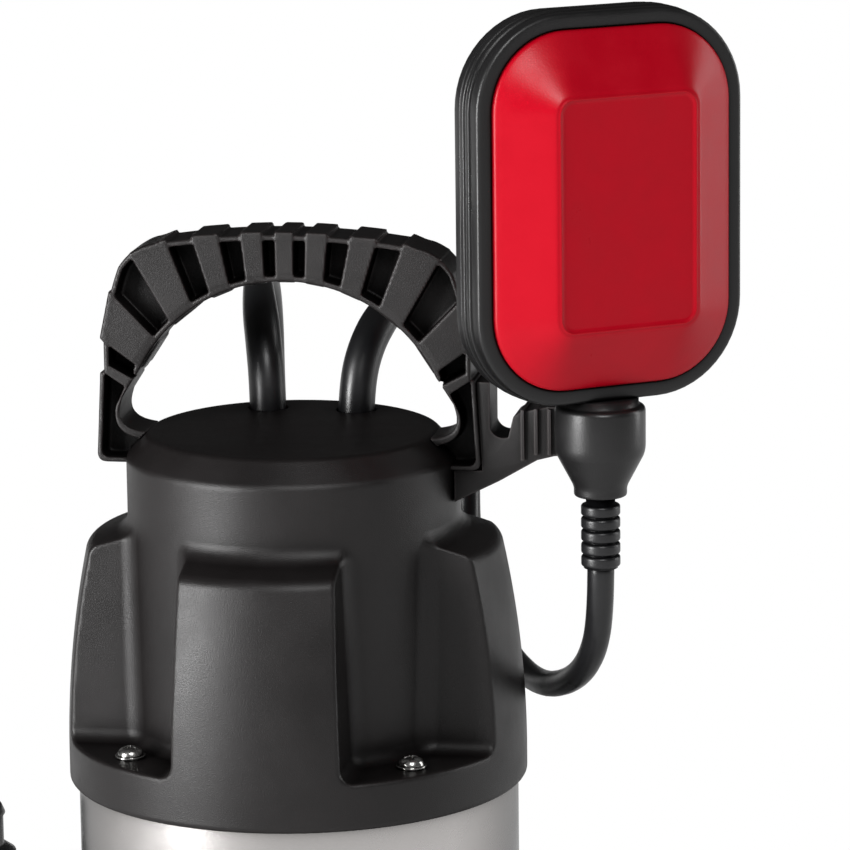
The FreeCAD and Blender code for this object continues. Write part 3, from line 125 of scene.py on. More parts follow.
link(glow.outputs[0], blend.inputs[2])
link(blend.outputs[0], end.inputs["Surface"])
floor.data.materials.append(paper)

sky = bpy.data.worlds.new("studio")
sky.use_nodes = True
set_inputs(sky.node_tree.nodes["Background"], {"Color": (1, 1, 1, 1), "Strength": 0.06})
scene.world = sky


def softbox(name, spot, target, width, height, watts):
    """A rectangular soft lamp at a spot, turned to its target."""
    lamp = bpy.data.lights.new(name, "AREA")
    lamp.shape = "RECTANGLE"
    lamp.size = width
    lamp.size_y = height
    lamp.energy = watts
    holder = stand(name, lamp)
    holder.location = spot
    holder.rotation_euler = (Vector(target) - Vector(spot)).to_track_quat("-Z", "Y").to_euler()


softbox("key_lamp", (-1.03, -0.97, 0.42), (0, 0, 0.24), 0.42, 0.8, 38)
softbox("side_lamp", (1.2, 0.55, 0.55), (0, 0, 0.28), 0.3, 0.9, 6)
softbox("front_lamp", (0.45, -1.15, 1.25), (0.06, 0, 0.3), 0.45, 0.45, 14)

# Cords ------------------------
# Round black rubber sheathed cable, 8.7 mm thick. The mains lead leaves its moulded sleeve, drops
# behind the motor and is wound into a neat coil with its plug laid on top; the float's lead is
# short.
cable_radius = 0.00435
coil_middle, coil_radius, turn_step = Vector((-0.020, 0.200, 0)), 0.078, 0.0087
# degrees over which a turn steps aside, those wound before the first step, and the whole turns
shift_angle, lead_in, whole_turns = 16.0, 300, 18
# the coil's twenty places, as column and layer, in the order the lead is wound into them
coil_places = [
    (2, 3), (1, 3), (0, 3), (0, 2), (1, 2), (2, 2), (2, 1), (1, 1), (0, 1), (0, 0),
    (1, 0), (2, 0), (3, 0), (4, 0), (4, 1), (3, 1), (3, 2), (4, 2), (4, 3), (3, 3),
]
lead_down = [
    (-24.6, 66, 332), (-28.6, 84.7, 335.2), (-30.6, 104, 331), (-32.4, 121, 320), (-34, 132, 303),
    (-35, 137, 281), (-34, 138, 250), (-27, 135, 205), (-15, 129, 155), (-2, 122, 110),
    (-8, 121, 75), (-25, 121, 50), (-48, 127, 36),
]
lead_up = [(9, 281, 41), (35, 261, 50), (51, 237, 54.5), (56.5, 213, 54.5)]
float_lead_route = [
    (28, 64, 331.5), (33, 82.57, 334.36), (35.3, 101, 330), (36.5, 117, 319), (37, 127.5, 302),
    (37, 131.5, 280), (36, 131, 255), (38, 120, 230), (47, 100, 211), (60, 71, 202),
    (76, 38, 201), (92, 6, 212), (102, -18, 228), (106, -31, 247), (106, -31, 263),
]


def coil_points(first_angle, last_angle):
    """The wound part of the lead: each turn keeps its place and steps aside once on the way."""
    total = (first_angle - last_angle) % 360 + 360 * whole_turns
    steps = int(total / shift_angle)
    points = []
    for step in range(steps + 1):
        gone = total * step / steps
        turns = (gone - lead_in) / (360 - shift_angle)
        place = min(max(int(math.floor(turns)) + 1, 0), len(coil_places) - 1)
        since = gone - lead_in - (place - 1) * (360 - shift_angle)
        before, after = coil_places[max(place - 1, 0)], coil_places[place]
        along = min(max(since / shift_angle, 0.0), 1.0)
        column = before[0] + (after[0] - before[0]) * along
        layer = before[1] + (after[1] - before[1]) * along
        angle = math.radians(first_angle - gone)
        radius = coil_radius + (column - 2) * turn_step
        points.append((
            coil_middle.x + radius * math.cos(angle), coil_middle.y + radius * math.sin(angle),
            cable_radius + layer * turn_step,
        ))
    return points


def cable_curve(name, points, radius):
    """A cable on one smooth spline through the room between its control points."""
    curve = bpy.data.curves.new(name, "CURVE")
    curve.dimensions = "3D"
    spline = curve.splines.new("NURBS")
    spline.points.add(len(points) - 1)
    for knot, point in zip(spline.points, points):
        knot.co = (*point, 1)
        knot.radius = radius
    spline.order_u = 3
    spline.use_endpoint_u = True
    spline.resolution_u = 6
    curve.bevel_depth = 1.0 if radius else 0.0
    curve.bevel_resolution = 6
    curve.use_fill_caps = True
    return stand(name, curve)


def metres(points):
    """Points in metres from points in millimetres."""
    return [tuple(value / 1000 for value in point) for point in points]


mains_lead = cable_curve(
    "mains_lead", metres(lead_down) + coil_points(-114, 90.7) + metres(lead_up), cable_radius
)
float_lead_line = cable_curve("float_lead", metres(float_lead_route), 0)
float_path = bpy.data.meshes.new_from_object(float_lead_line)
path_points = [tuple(v.co) for v in float_path.vertices]
bpy.data.objects.remove(float_lead_line)
bpy.data.meshes.remove(float_path)


def loft(name, rings, close_start=True, close_end=True):
    """A skin through rings of points, each ring with the same count."""
    size = len(rings[0])
    faces = []
    for ring in range(len(rings) - 1):
        for side in range(size):
            here, there = ring * size + side, ring * size + (side + 1) % size
            faces.append((here, there, there + size, here + size))
    if close_start:
        faces.append(tuple(range(size))[::-1])
    if close_end:
        faces.append(tuple((len(rings) - 1) * size + side for side in range(size)))
    mesh = bpy.data.meshes.new(name)
    mesh.from_pydata([tuple(p) for ring in rings for p in ring], [], faces)
    mesh.polygons.foreach_set("use_smooth", [len(f) == 4 for f in faces])
    shape = bmesh.new()
    shape.from_mesh(mesh)
    bmesh.ops.recalc_face_normals(shape, faces=shape.faces)
    shape.to_mesh(mesh)
    shape.free()
    return stand(name, mesh)


def tube_mesh(name, path, radius, sides=24):
    """A round tube along a line of points, with flat ends."""
    path = [Vector(p) for p in path]
    across, rings = None, []
    for number, point in enumerate(path):
        ahead = path[min(number + 1, len(path) - 1)] - path[max(number - 1, 0)]
        ahead.normalize()
        across = ahead.orthogonal() if across is None else across - ahead * across.dot(ahead)
        across.normalize()
        up = ahead.cross(across)
        size = radius(number / (len(path) - 1)) if callable(radius) else radius
        rings.append([
            point + size * (math.cos(a) * across + math.sin(a) * up)
            for a in (2 * math.pi * side / sides for side in range(sides))
        ])
    return loft(name, rings)


float_lead = tube_mesh("float_lead_cable", path_points, cable_radius)

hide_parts("power_cord", "power_cord_coil", "plug_cord")
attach(mains_lead, "housing")
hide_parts("float_cord")
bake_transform(float_lead)


def surface_group():
    """Masks that all surfaces share: fine grain, cloudy tone, worn edges and painted shade in
    hollows.
    """
    group = bpy.data.node_groups.new("moulded_surface", "ShaderNodeTree")
    for name, value in (
        ("Grain Scale", 1800.0), ("Cloud Scale", 35.0), ("Edge Width", 0.0006),
        ("Hollow Size", 0.010),
    ):
        socket = group.interface.new_socket(
            name=name, in_out="INPUT", socket_type="NodeSocketFloat"
        )
        socket.default_value = value
    for name in ("Grain", "Cloud", "Edge", "Painted Shade"):
        group.interface.new_socket(name=name, in_out="OUTPUT", socket_type="NodeSocketFloat")
    add, join = group.nodes.new, group.links.new
    given, result = add("NodeGroupInput"), add("NodeGroupOutput")
    where = add("ShaderNodeTexCoord")

    def noise(name, detail, roughness):
        """A noise mask at the scale given for it."""
        mask = add("ShaderNodeTexNoise")
        set_inputs(mask, {"Detail": detail, "Roughness": roughness})
        join(where.outputs["Object"], mask.inputs["Vector"])
        join(given.outputs[name + " Scale"], mask.inputs["Scale"])
        join(mask.outputs["Fac"], result.inputs[name])
        return mask.outputs["Fac"]

    noise("Grain", 2.0, 0.6)
    cloud = noise("Cloud", 6.0, 0.62)
    rounded = add("ShaderNodeBevel")
    rounded.samples = 6
    join(given.outputs["Edge Width"], rounded.inputs["Radius"])
    flat = add("ShaderNodeNewGeometry")
    match = add("ShaderNodeVectorMath")
    match.operation = "DOT_PRODUCT"
    join(rounded.outputs["Normal"], match.inputs[0])
    join(flat.outputs["Normal"], match.inputs[1])
    worn = add("ShaderNodeMapRange")
    set_inputs(worn, {"From Min": 0.995, "From Max": 0.90})
    join(match.outputs["Value"], worn.inputs["Value"])
    patchy = add("ShaderNodeMath")
    patchy.operation = "MULTIPLY"
    join(worn.outputs["Result"], patchy.inputs[0])
    join(cloud, patchy.inputs[1])
    join(patchy.outputs[0], result.inputs["Edge"])
    # painted shade: an ambient occlusion mask, dark in hollows, corners and gaps between parts
    shade = add("ShaderNodeAmbientOcclusion")
    shade.samples = 5
    join(given.outputs["Hollow Size"], shade.inputs["Distance"])
    deepen = add("ShaderNodeMath")
    deepen.operation = "POWER"
    deepen.inputs[1].default_value = 1.6
    join(shade.outputs["AO"], deepen.inputs[0])
    join(deepen.outputs[0], result.inputs["Painted Shade"])
    return group


moulded_surface = surface_group()
# the share of a colour that is left in the deepest hollows, as painted shade
painted_shade_share = 0.2


def skin_material(
    name, dark, light, worn, roughness, spread, grain_scale, grain_height, cloud_scale=35.0,
    edge_width=0.0006, metallic=0.0, edge_radius=0.0004, specular=0.5, flank=0.3, brushed=0.0,
):
    """A surface with grain, cloudy tone and gloss, worn edges, painted shade in hollows, less gloss
    at its flanks and, on metal, painted shade at its flanks.
    """
    material = bpy.data.materials.new(name)
    material.use_nodes = True
    tree = material.node_tree
    add, join = tree.nodes.new, tree.links.new
    surface = tree.nodes["Principled BSDF"]
    set_inputs(surface, {"Metallic": metallic})
    masks = add("ShaderNodeGroup")
    masks.node_tree = moulded_surface
    set_inputs(masks, {
        "Grain Scale": grain_scale, "Cloud Scale": cloud_scale, "Edge Width": edge_width,
    })

    def colour_mix(first, second, factor):
        """The mix of two colours, each a fixed one or another node's output."""
        mix = add("ShaderNodeMix")
        mix.data_type = "RGBA"
        for name, colour in (("A", first), ("B", second)):
            if isinstance(colour, tuple):
                mix.inputs[name].default_value = (*colour, 1)
            else:
                join(colour, mix.inputs[name])
        join(factor, mix.inputs["Factor"])
        return mix.outputs["Result"]

    def mapped(value, settings):
        """A value carried from one range to another."""
        scale = add("ShaderNodeMapRange")
        set_inputs(scale, settings)
        join(value, scale.inputs["Value"])
        return scale.outputs["Result"]

    tone = colour_mix(dark, light, masks.outputs["Cloud"])
    rubbed = colour_mix(tone, worn, masks.outputs["Edge"])
    # painted shade: in hollows the colour falls to a share of its dark tone
    painted_shade_colour = tuple(part * painted_shade_share for part in dark)
    colour = colour_mix(painted_shade_colour, rubbed, masks.outputs["Painted Shade"])
    facing = add("ShaderNodeLayerWeight").outputs["Facing"]
    quiet = mapped(facing, {
        "From Min": 0.25, "To Min": specular, "To Max": specular * flank,
    })
    # the gloss takes the same painted shade in hollows
    shine = add("ShaderNodeMath")
    shine.operation = "MULTIPLY"
    join(masks.outputs["Painted Shade"], shine.inputs[0])
    join(quiet, shine.inputs[1])
    join(shine.outputs[0], surface.inputs["Specular IOR Level"])
    gloss = mapped(masks.outputs["Cloud"], {
        "From Min": 0.3, "From Max": 0.7,
        "To Min": roughness - spread, "To Max": roughness + spread,
    })
    join(gloss, surface.inputs["Roughness"])
    soft_edge = add("ShaderNodeBevel")
    soft_edge.samples = 6
    set_inputs(soft_edge, {"Radius": edge_radius})
    relief = add("ShaderNodeBump")
    set_inputs(relief, {"Strength": 1.0, "Distance": grain_height})
    join(masks.outputs["Grain"], relief.inputs["Height"])
    if brushed:
        set_inputs(surface, {"Anisotropic": brushed})
        around = add("ShaderNodeTangent")
        join(around.outputs["Tangent"], surface.inputs["Tangent"])
    if metallic:
        # painted shade: a metal's colour darkens towards its flanks as seen from the lens, for the
        # dark reflections there
        flank_shade_mask = mapped(facing, {"From Min": 0.3, "From Max": 0.85})
        colour = colour_mix(colour, tuple(flank * part for part in dark), flank_shade_mask)
    join(colour, surface.inputs["Base Color"])
    join(soft_edge.outputs["Normal"], relief.inputs["Normal"])
    join(relief.outputs["Normal"], surface.inputs["Normal"])
    return material


def paint(piece, material):
    """Puts one material on a whole piece."""
    if piece.data.materials:
        for number in range(len(piece.data.materials)):
            piece.data.materials[number] = material
    else:
        piece.data.materials.append(material)


cable_rubber = skin_material(
    "cable_rubber", (0.005, 0.005, 0.0055), (0.011, 0.011, 0.012), (0.04, 0.04, 0.04), 0.34, 0.08,
    2600.0, 0.00003, cloud_scale=60.0, specular=0.4,
)
paint(mains_lead, cable_rubber)
paint(float_lead, cable_rubber)
plug_rubber = skin_material(
    "plug_rubber", (0.012, 0.012, 0.013), (0.025, 0.025, 0.026), (0.06, 0.06, 0.06), 0.45, 0.06,
    1500.0, 0.00004, edge_radius=0.001,
)
paint(nodes["mains_plug"], plug_rubber)

# Motor cover ------------------
# One black moulding with a fine matt grain: a ring that caps the steel jacket, a round drum with a
# chamfered crown and a flat lid, and four hollow wings with softly rounded roots and rims.
ring_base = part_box("motor_cover")[0].z
cover_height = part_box("motor_cover")[1].z - ring_base
ring_radius, drum_radius = 0.076, 0.0548
ledge_height, shoulder_height = 0.0155, 0.108
cover_wall, lid_wall = 0.0032, 0.0052
chamfer_rise, chamfer_in, chamfer_length = 0.0080, 0.0073, 0.01083
wing_half, wing_taper, wing_taper_height = 0.0277, 0.0022, 0.0645
wing_foot, wing_flare = 0.008, 0.66
wing_top, wing_slope, wing_slope_length, recess_reach = 0.0845, 0.317, 1.049, 0.0448
groove_radius, groove_half, groove_top = 0.0726, 0.0008, 0.010
mouth_radius, mouth_top = 0.0715, 0.004
hole_x, hole_y, hole_radius = 0.015, 0.0325, 0.0063


def rounded_meet(a, b, radius):
    """Where two solids overlap, with the outside edge between them rounded."""
    corner = np.hypot(np.maximum(radius + a, 0), np.maximum(radius + b, 0))
    return np.minimum(-radius, np.maximum(a, b)) + corner


def rounded_join(a, b, radius):
    """Two solids together, with the inside corner between them filled by a fillet."""
    corner = np.hypot(np.maximum(radius - a, 0), np.maximum(radius - b, 0))
    return np.maximum(radius, np.minimum(a, b)) - corner


def crown_chamfer(out, z):
    """How far a point lies outside the slope between the drum and its lid."""
    return (
        (out - drum_radius) * chamfer_rise + (z - shoulder_height) * chamfer_in
    ) / chamfer_length


def cover_field(x, y, z):
    """How far a point lies outside the motor cover's skin."""
    z = z - ring_base
    out = np.hypot(x, y)
    chamfer = crown_chamfer(out, z)
    drum = rounded_meet(
        rounded_meet(out - drum_radius, chamfer, 0.0009), z - cover_height, 0.0010
    )
    side = np.minimum(np.abs(x), np.abs(y))
    half = wing_half - wing_taper * np.clip(z - ledge_height, 0, 1) / wing_taper_height
    face = ring_radius - np.maximum(z - wing_foot, 0) ** 2 / wing_flare
    slope = (z - wing_top + (out - drum_radius) * wing_slope) / wing_slope_length
    recess = rounded_meet(
        rounded_meet(half - side, ledge_height - z, 0.0042), recess_reach - out, 0.001
    )
    wings = rounded_meet(rounded_meet(out - face, slope, 0.0024), -z, 0.0016)
    wings = rounded_meet(wings, -recess, 0.0010)
    shell = rounded_join(drum, wings, 0.0042)
    cavity = np.maximum(out - (drum_radius - cover_wall), z - (cover_height - lid_wall))
    cavity = np.maximum(cavity, chamfer + cover_wall)
    groove = np.maximum(np.abs(out - groove_radius) - groove_half, z - groove_top)
    mouth = np.maximum(out - mouth_radius, z - mouth_top)
    shell = np.maximum(shell, -np.minimum(np.minimum(cavity, groove), mouth))
    for hand in (1, -1):
        hole = np.hypot(x - hand * hole_x, y - hole_y) - hole_radius
        shell = rounded_meet(shell, -hole, 0.0003)
    return shell


def smooth(mesh):
    """Shades every face of a mesh smooth."""
    mesh.polygons.foreach_set("use_smooth", [True] * len(mesh.polygons))


def skin_from_field(name, field, low, high, cell, passes=9, settling=3):
    """A mesh of square faces on a field's zero skin, pulled exactly onto it."""
    axes = [np.arange(low[k], high[k] + cell, cell) for k in range(3)]
    values = field(*np.meshgrid(*axes, indexing="ij"))
    inside = values < 0
    counts = np.array(values.shape) - 1
    corners = [(i, j, k) for i in (0, 1) for j in (0, 1) for k in (0, 1)]

    def at(array, corner):
        return array[tuple(slice(c, c + n) for c, n in zip(corner, counts))]

    full = sum(at(inside, corner).astype(np.int8) for corner in corners)
    mixed = (full > 0) & (full < 8)
    number = np.full(mixed.shape, -1, np.int64)
    number[mixed] = np.arange(mixed.sum())
    where = np.argwhere(mixed)
    total, share = np.zeros((len(where), 3)), np.zeros(len(where))
    for one in corners:
        for axis in range(3):
            if one[axis]:
                continue
            other = tuple(c + (k == axis) for k, c in enumerate(one))
            a, b = at(values, one)[mixed], at(values, other)[mixed]
            crossed = (a < 0) != (b < 0)
            part = np.where(crossed, a / np.where(crossed, a - b, 1), 0)
            step = np.array(one, float)[None, :].repeat(len(where), 0)
            step[:, axis] += part
            total += step * crossed[:, None]
            share += crossed
    points = (where + total / share[:, None]) * cell + np.array(low)
    quads = []
    for axis in range(3):
        u, v = (axis + 1) % 3, (axis + 2) % 3
        ahead = [slice(None)] * 3
        behind = [slice(None)] * 3
        ahead[axis], behind[axis] = slice(1, None), slice(None, -1)
        change = inside[tuple(behind)] != inside[tuple(ahead)]
        edges = np.argwhere(change)
        edges = edges[(edges[:, u] > 0) & (edges[:, v] > 0)]
        edges = edges[(edges[:, u] < counts[u]) & (edges[:, v] < counts[v])]
        ring = []
        for du, dv in ((1, 1), (0, 1), (0, 0), (1, 0)):
            cellspot = edges.copy()
            cellspot[:, u] -= du
            cellspot[:, v] -= dv
            ring.append(number[tuple(cellspot.T)])
        loop = np.stack(ring, 1)
        flip = ~inside[tuple(edges.T)]
        loop[flip] = loop[flip][:, ::-1]
        quads.append(loop)
    quads = np.concatenate(quads)
    small = cell * 0.05
    for turn in range(passes):
        if turn >= settling:
            middle, share = np.zeros_like(points), np.zeros(len(points))
            for k in range(4):
                for a, b in ((quads[:, k], quads[:, k - 1]), (quads[:, k - 1], quads[:, k])):
                    share += np.bincount(a, minlength=len(points))
                    for axis in range(3):
                        middle[:, axis] += np.bincount(a, points[b, axis], len(points))
            points += 0.5 * (middle / np.maximum(share, 1)[:, None] - points)
        slope = np.stack([
            field(*(points + small * np.eye(3)[k]).T) - field(*(points - small * np.eye(3)[k]).T)
            for k in range(3)
        ], 1) / (2 * small)
        length = np.maximum((slope ** 2).sum(1), 0.25)
        move = slope * (field(*points.T) / length)[:, None]
        points -= np.clip(move, -cell * 0.5, cell * 0.5)
    mesh = bpy.data.meshes.new(name)
    mesh.from_pydata(points.tolist(), [], quads.tolist())
    smooth(mesh)
    slope /= np.maximum(np.linalg.norm(slope, axis=1), 1e-9)[:, None]
    mesh.normals_split_custom_set_from_vertices(slope.tolist())
    return stand(name, mesh)


motor_cover = skin_from_field(
    "motor_cover_moulding", cover_field, (-0.0785, -0.0785, ring_base - 0.0025),
    (0.0785, 0.0785, ring_base + cover_height + 0.0025), 0.001,
)
black_plastic = skin_material(
    "black_plastic", (0.0032, 0.0027, 0.0027), (0.0105, 0.0090, 0.0090), (0.09, 0.078, 0.078), 0.40,
    0.07, 3000.0, 0.00009, edge_width=0.0012, specular=0.31, flank=0.08,
)
paint(motor_cover, black_plastic)
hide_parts("motor_cover")
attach(motor_cover, "housing")

# Carry handle -----------------
# A stiff moulded arch joined to the shoulders of the cover. Deep pockets are cored out of both
# faces down to a thin web, leaving fine lips, and nine solid pads swell out between them.
arch_centre, arch_radius, half_depth, half_web = 0.1115, 0.055, 0.0095, 0.002
crown_top, crown_radius = 0.1818, 0.262
handle_lip, pad_proud, pad_inset, pad_face = 0.0018, 0.0012, 0.0007, 0.0099
crown_half, crown_steps, core_draft, cover_fit = 0.046, 40, 0.05, 0.0006
gusset_top = 0.1060


def flat_shape(corners, low, high, cell=0.0003):
    """A lookup of how far a place on a flat drawing lies outside a closed outline."""
    across, up = np.arange(low[0], high[0], cell), np.arange(low[1], high[1], cell)
    x, z = np.meshgrid(across, up, indexing="ij")
    best, odd = np.full(x.shape, 1.0), np.zeros(x.shape, bool)
    for (ax, az), (bx, bz) in zip(corners, corners[1:] + corners[:1]):
        ex, ez = bx - ax, bz - az
        part = np.clip(((x - ax) * ex + (z - az) * ez) / (ex * ex + ez * ez), 0, 1)
        best = np.minimum(best, np.hypot(x - ax - part * ex, z - az - part * ez))
        if ez:
            odd ^= ((az > z) != (bz > z)) & (x < ax + (z - az) * ex / ez)
    best[odd] *= -1

    def distance(x, z):
        u = np.clip((x - low[0]) / cell, 0, len(across) - 1.001)
        v = np.clip((z - low[1]) / cell, 0, len(up) - 1.001)
        i, j = u.astype(int), v.astype(int)
        u, v = u - i, v - j
        near = best[i, j] * (1 - v) + best[i, j + 1] * v
        far = best[i + 1, j] * (1 - v) + best[i + 1, j + 1] * v
        return near * (1 - u) + far * u

    return distance


def arc(centre, radius, begin, finish, count):
    """Places along an arc on a flat drawing, its angles in degrees from the upright."""
    turns = [math.radians(begin + (finish - begin) * k / count) for k in range(count + 1)]
    return [(centre[0] + radius * math.sin(t), centre[1] + radius * math.cos(t)) for t in turns]


def crown_at(x):
    """The height of the handle's top skin at a distance from its middle."""
    return crown_top - crown_radius + math.sqrt(crown_radius ** 2 - x ** 2)


def bend(start, middle, end, count):
    """Points of a soft corner from start to end, drawn towards the middle point."""
    return [
        tuple(
            (1 - t) ** 2 * a + 2 * t * (1 - t) * b + t * t * c
            for a, b, c in zip(start, middle, end)
        )
        for t in (step / count for step in range(count + 1))
    ]


def half_arch(lip, foot):
    """The right half of the arch's outline, drawn in by a lip."""
    places = [crown_half * k / crown_steps for k in range(1, crown_steps + 1)]
    crown = [(x, crown_at(x) - lip) for x in (-0.004, 0.0, *places)]
    corner = bend(
        crown[-1], (0.0515 - lip * 0.7, crown_at(0.0515) - 0.0006 - lip),
        (0.0554 - lip * 0.8, 0.1666 + 0.0035 - lip * 0.4), 8,
    )
    side = bend(corner[-1], (0.0592 - lip, 0.1602), (0.0609 - lip, 0.1476), 12)
    bore = arc((0, arch_centre), arch_radius + lip, 64, -4, 70)
    return crown + corner[1:] + side[1:] + foot + bore


outer_foot = (
    [(0.0609, 0.1353), (0.0623, 0.1353)]
    + bend((0.0638, 0.1085), (0.064, 0.1052), (0.0606, 0.1052), 6)
    + [(0.045, 0.1052), (0.045, 0.1152)]
    + bend((0.0488, 0.1158), (0.0580, 0.1172), (0.0556, 0.1250), 12)
    + bend((0.0550, 0.1270), (0.0512, 0.1330), (0.0496, 0.1354), 5)
)
inner_foot = [(0.0609 - handle_lip, 0.1375), (0.0508, 0.1330)]
foot_box = (
    bend((0.0621, 0.1098), (0.0624, 0.1068), (0.0594, 0.1068), 5)
    + [(0.0500, 0.1068), (0.0500, 0.1134)]
    + bend((0.0514, 0.1138), (0.0588, 0.1160), (0.0572, 0.1240), 10)
    + [(0.0541, 0.1306), (0.0607, 0.1349)]
)
low_corner, high_corner = (-0.006, 0.098), (0.070, 0.190)
arch_shape = flat_shape(half_arch(0, outer_foot), low_corner, high_corner)
gap_shape = flat_shape(half_arch(handle_lip, inner_foot), low_corner, high_corner)
foot_shape = flat_shape(foot_box, low_corner, high_corner)


def on_bore(angle):
    """A pad's corner on the arch's bore."""
    return arc((0, arch_centre), arch_radius - pad_inset, angle, angle, 1)[0]


def on_crown(x):
    """A pad's corner above the arch's crown."""
    return x, crown_at(x) + pad_proud


pads = [(on_bore(-3.2), on_crown(-0.0032), on_crown(0.0032), on_bore(3.2))] + [
    (on_bore(begin), near, far, on_bore(finish)) for begin, finish, near, far in (
        (6.7, 13.6, on_crown(0.0071), on_crown(0.0147)),
        (19.1, 26.8, on_crown(0.0218), on_crown(0.0310)),
        (33.8, 43.8, on_crown(0.0393), (0.0516, 0.1748)),
        (51.0, 62.7, (0.0586, 0.1626), (0.0621, 0.1464)),
    )
]


def handle_field(x, y, z):
    """How far a point lies outside the handle."""
    z = z - ring_base
    across, depth = np.abs(x), np.abs(y)
    body = rounded_meet(arch_shape(across, z), depth - half_depth, 0.0008)
    draft = (half_depth - depth) * core_draft
    gap = np.minimum(gap_shape(across, z), foot_shape(across, z)) + draft
    gap = rounded_meet(gap, half_web - depth, 0.0010)
    body = rounded_meet(body, -gap, 0.0004)
    chamfer = crown_chamfer(across, z)
    fit = np.maximum(np.hypot(x, y) - drum_radius + cover_fit, chamfer + cover_fit)
    fit = np.maximum(fit, z - cover_height + cover_fit)
    body = np.maximum(body, -fit)
    for corners in pads:
        middle = np.mean(corners, 0)
        sides = []
        for (ax, az), (bx, bz) in zip(corners, corners[1:] + corners[:1]):
            length = math.hypot(bx - ax, bz - az)
            nx, nz = (bz - az) / length, (ax - bx) / length
            if (middle[0] - ax) * nx + (middle[1] - az) * nz > 0:
                nx, nz = -nx, -nz
            sides.append((across - ax) * nx + (z - az) * nz)
        roll = rounded_meet(sides[3], depth - pad_face, 0.0042)
        solid = rounded_meet(np.maximum(sides[0], sides[2]), sides[1], 0.0006)
        solid = rounded_meet(rounded_meet(solid, depth - pad_face, 0.0007), roll, 0.0005)
        body = rounded_join(body, solid, 0.0005)
    slope = ((0.1052 - z) * 0.003 - (0.0578 + x) * 0.0052) / 0.006
    gusset = np.maximum(np.abs(y) - half_web, np.maximum(slope, z - gusset_top))
    return np.minimum(body, np.maximum(gusset, 0.0554 + x))


carry_handle = skin_from_field(
    "carry_handle_moulding", handle_field, (-0.0665, -0.0112, ring_base + 0.1035),
    (0.0665, 0.0112, ring_base + 0.1850), 0.0007,
)
paint(carry_handle, black_plastic)
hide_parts("carry_handle")
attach(carry_handle, "housing")

# Float holder -----------------
# A gusseted arm moulded to the handle's right foot. Its tip is slotted and ribbed so that the
# float's cable can be pushed in at a chosen length.
corner_angle, weld_gap, flat_angle = math.radians(28), 0.00001, 0.01


def softened(node, width, material, body, steps=2):
    """A copy of a node with its corners rounded and its flat faces kept flat."""
    mesh = nodes[node].data.copy()
    piece = stand(node + "_moulding", mesh)
    piece.matrix_world = nodes[node].matrix_world.copy()
    flat = bmesh.new()
    flat.from_mesh(mesh)
    bmesh.ops.remove_doubles(flat, verts=flat.verts, dist=weld_gap)
    bmesh.ops.dissolve_limit(flat, angle_limit=flat_angle, verts=flat.verts, edges=flat.edges)
    flat.to_mesh(mesh)
    flat.free()
    smooth(mesh)
    corners = piece.modifiers.new("corners", "BEVEL")
    corners.width, corners.segments = width, steps
    corners.limit_method, corners.angle_limit = "ANGLE", corner_angle
    corners.harden_normals = True
    ready = piece.evaluated_get(bpy.context.evaluated_depsgraph_get())
    piece.data = bpy.data.meshes.new_from_object(ready)
    piece.modifiers.clear()
    paint(piece, material)
    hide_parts(node)
    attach(piece, body)
    return piece


softened("float_holder", 0.0005, black_plastic, "housing", 3)

# Motor jacket -----------------
# A drawn tube of brushed stainless steel between two soft rubber seals, which seat it in the cover
# above and in the pump casing below.
# its colour darkens strongly towards the tube's flanks, as painted shade
stainless = skin_material(
    "stainless", (0.40, 0.385, 0.375), (0.52, 0.50, 0.49), (0.7, 0.69, 0.68), 0.26, 0.04,
    900.0, 0.00001, cloud_scale=14.0, metallic=1.0, flank=0.10, brushed=0.6,
)


def turned_rings(section, sides):
    """A closed section of radius and height carried once round an upright axis."""
    return [
        [(r * math.cos(a), r * math.sin(a), z) for r, z in section]
        for a in (2 * math.pi * side / sides for side in range(sides + 1))
    ]


jacket_low, jacket_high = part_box("motor_jacket")[0].z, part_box("motor_jacket")[1].z
jacket_radius, jacket_wall, jacket_roll = 0.073, 0.001, 0.0012
jacket_section = (
    bend((jacket_radius - jacket_wall, jacket_low), (jacket_radius, jacket_low),
         (jacket_radius, jacket_low + jacket_roll), 3)
    + bend((jacket_radius, jacket_high - jacket_roll), (jacket_radius, jacket_high),
           (jacket_radius - jacket_wall, jacket_high), 3)
)
motor_jacket = loft("motor_jacket_tube", turned_rings(jacket_section, 160), False, False)
smooth(motor_jacket.data)
paint(motor_jacket, stainless)
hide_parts("motor_jacket")
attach(motor_jacket, "housing")
seal_rubber = skin_material(
    "seal_rubber", (0.008, 0.008, 0.008), (0.016, 0.016, 0.016), (0.05, 0.05, 0.05), 0.6, 0.06,
    1800.0, 0.00003, specular=0.3,
)
for node in ("lower_jacket_seal", "upper_jacket_seal", "outlet_gasket"):
    softened(node, 0.0003, seal_rubber, "housing")

# Pump casing ------------------
# The glass filled moulding that closes the jacket's foot and winds round the impeller to the outlet
# socket. The same black plastic as the cover, with ribs and a plain spout for the union nut.
softened("pump_casing", 0.0007, black_plastic, "housing", 2)

# Strainer base ----------------
# The slotted foot that the pump stands on: tall inlet slots keep stones out. Four screws from below
# hold it and the suction plate against the casing.
bright_steel = skin_material(
    "bright_steel", (0.55, 0.54, 0.52), (0.72, 0.71, 0.69), (0.9, 0.9, 0.88), 0.24, 0.08,
    2500.0, 0.00002, cloud_scale=400.0, metallic=1.0, edge_radius=0.0001, edge_width=0.0003,
)
softened("strainer_base", 0.0006, black_plastic, "housing", 2)
softened("suction_plate", 0.0004, black_plastic, "housing", 2)
softened("base_screws", 0.0003, bright_steel, "housing", 2)

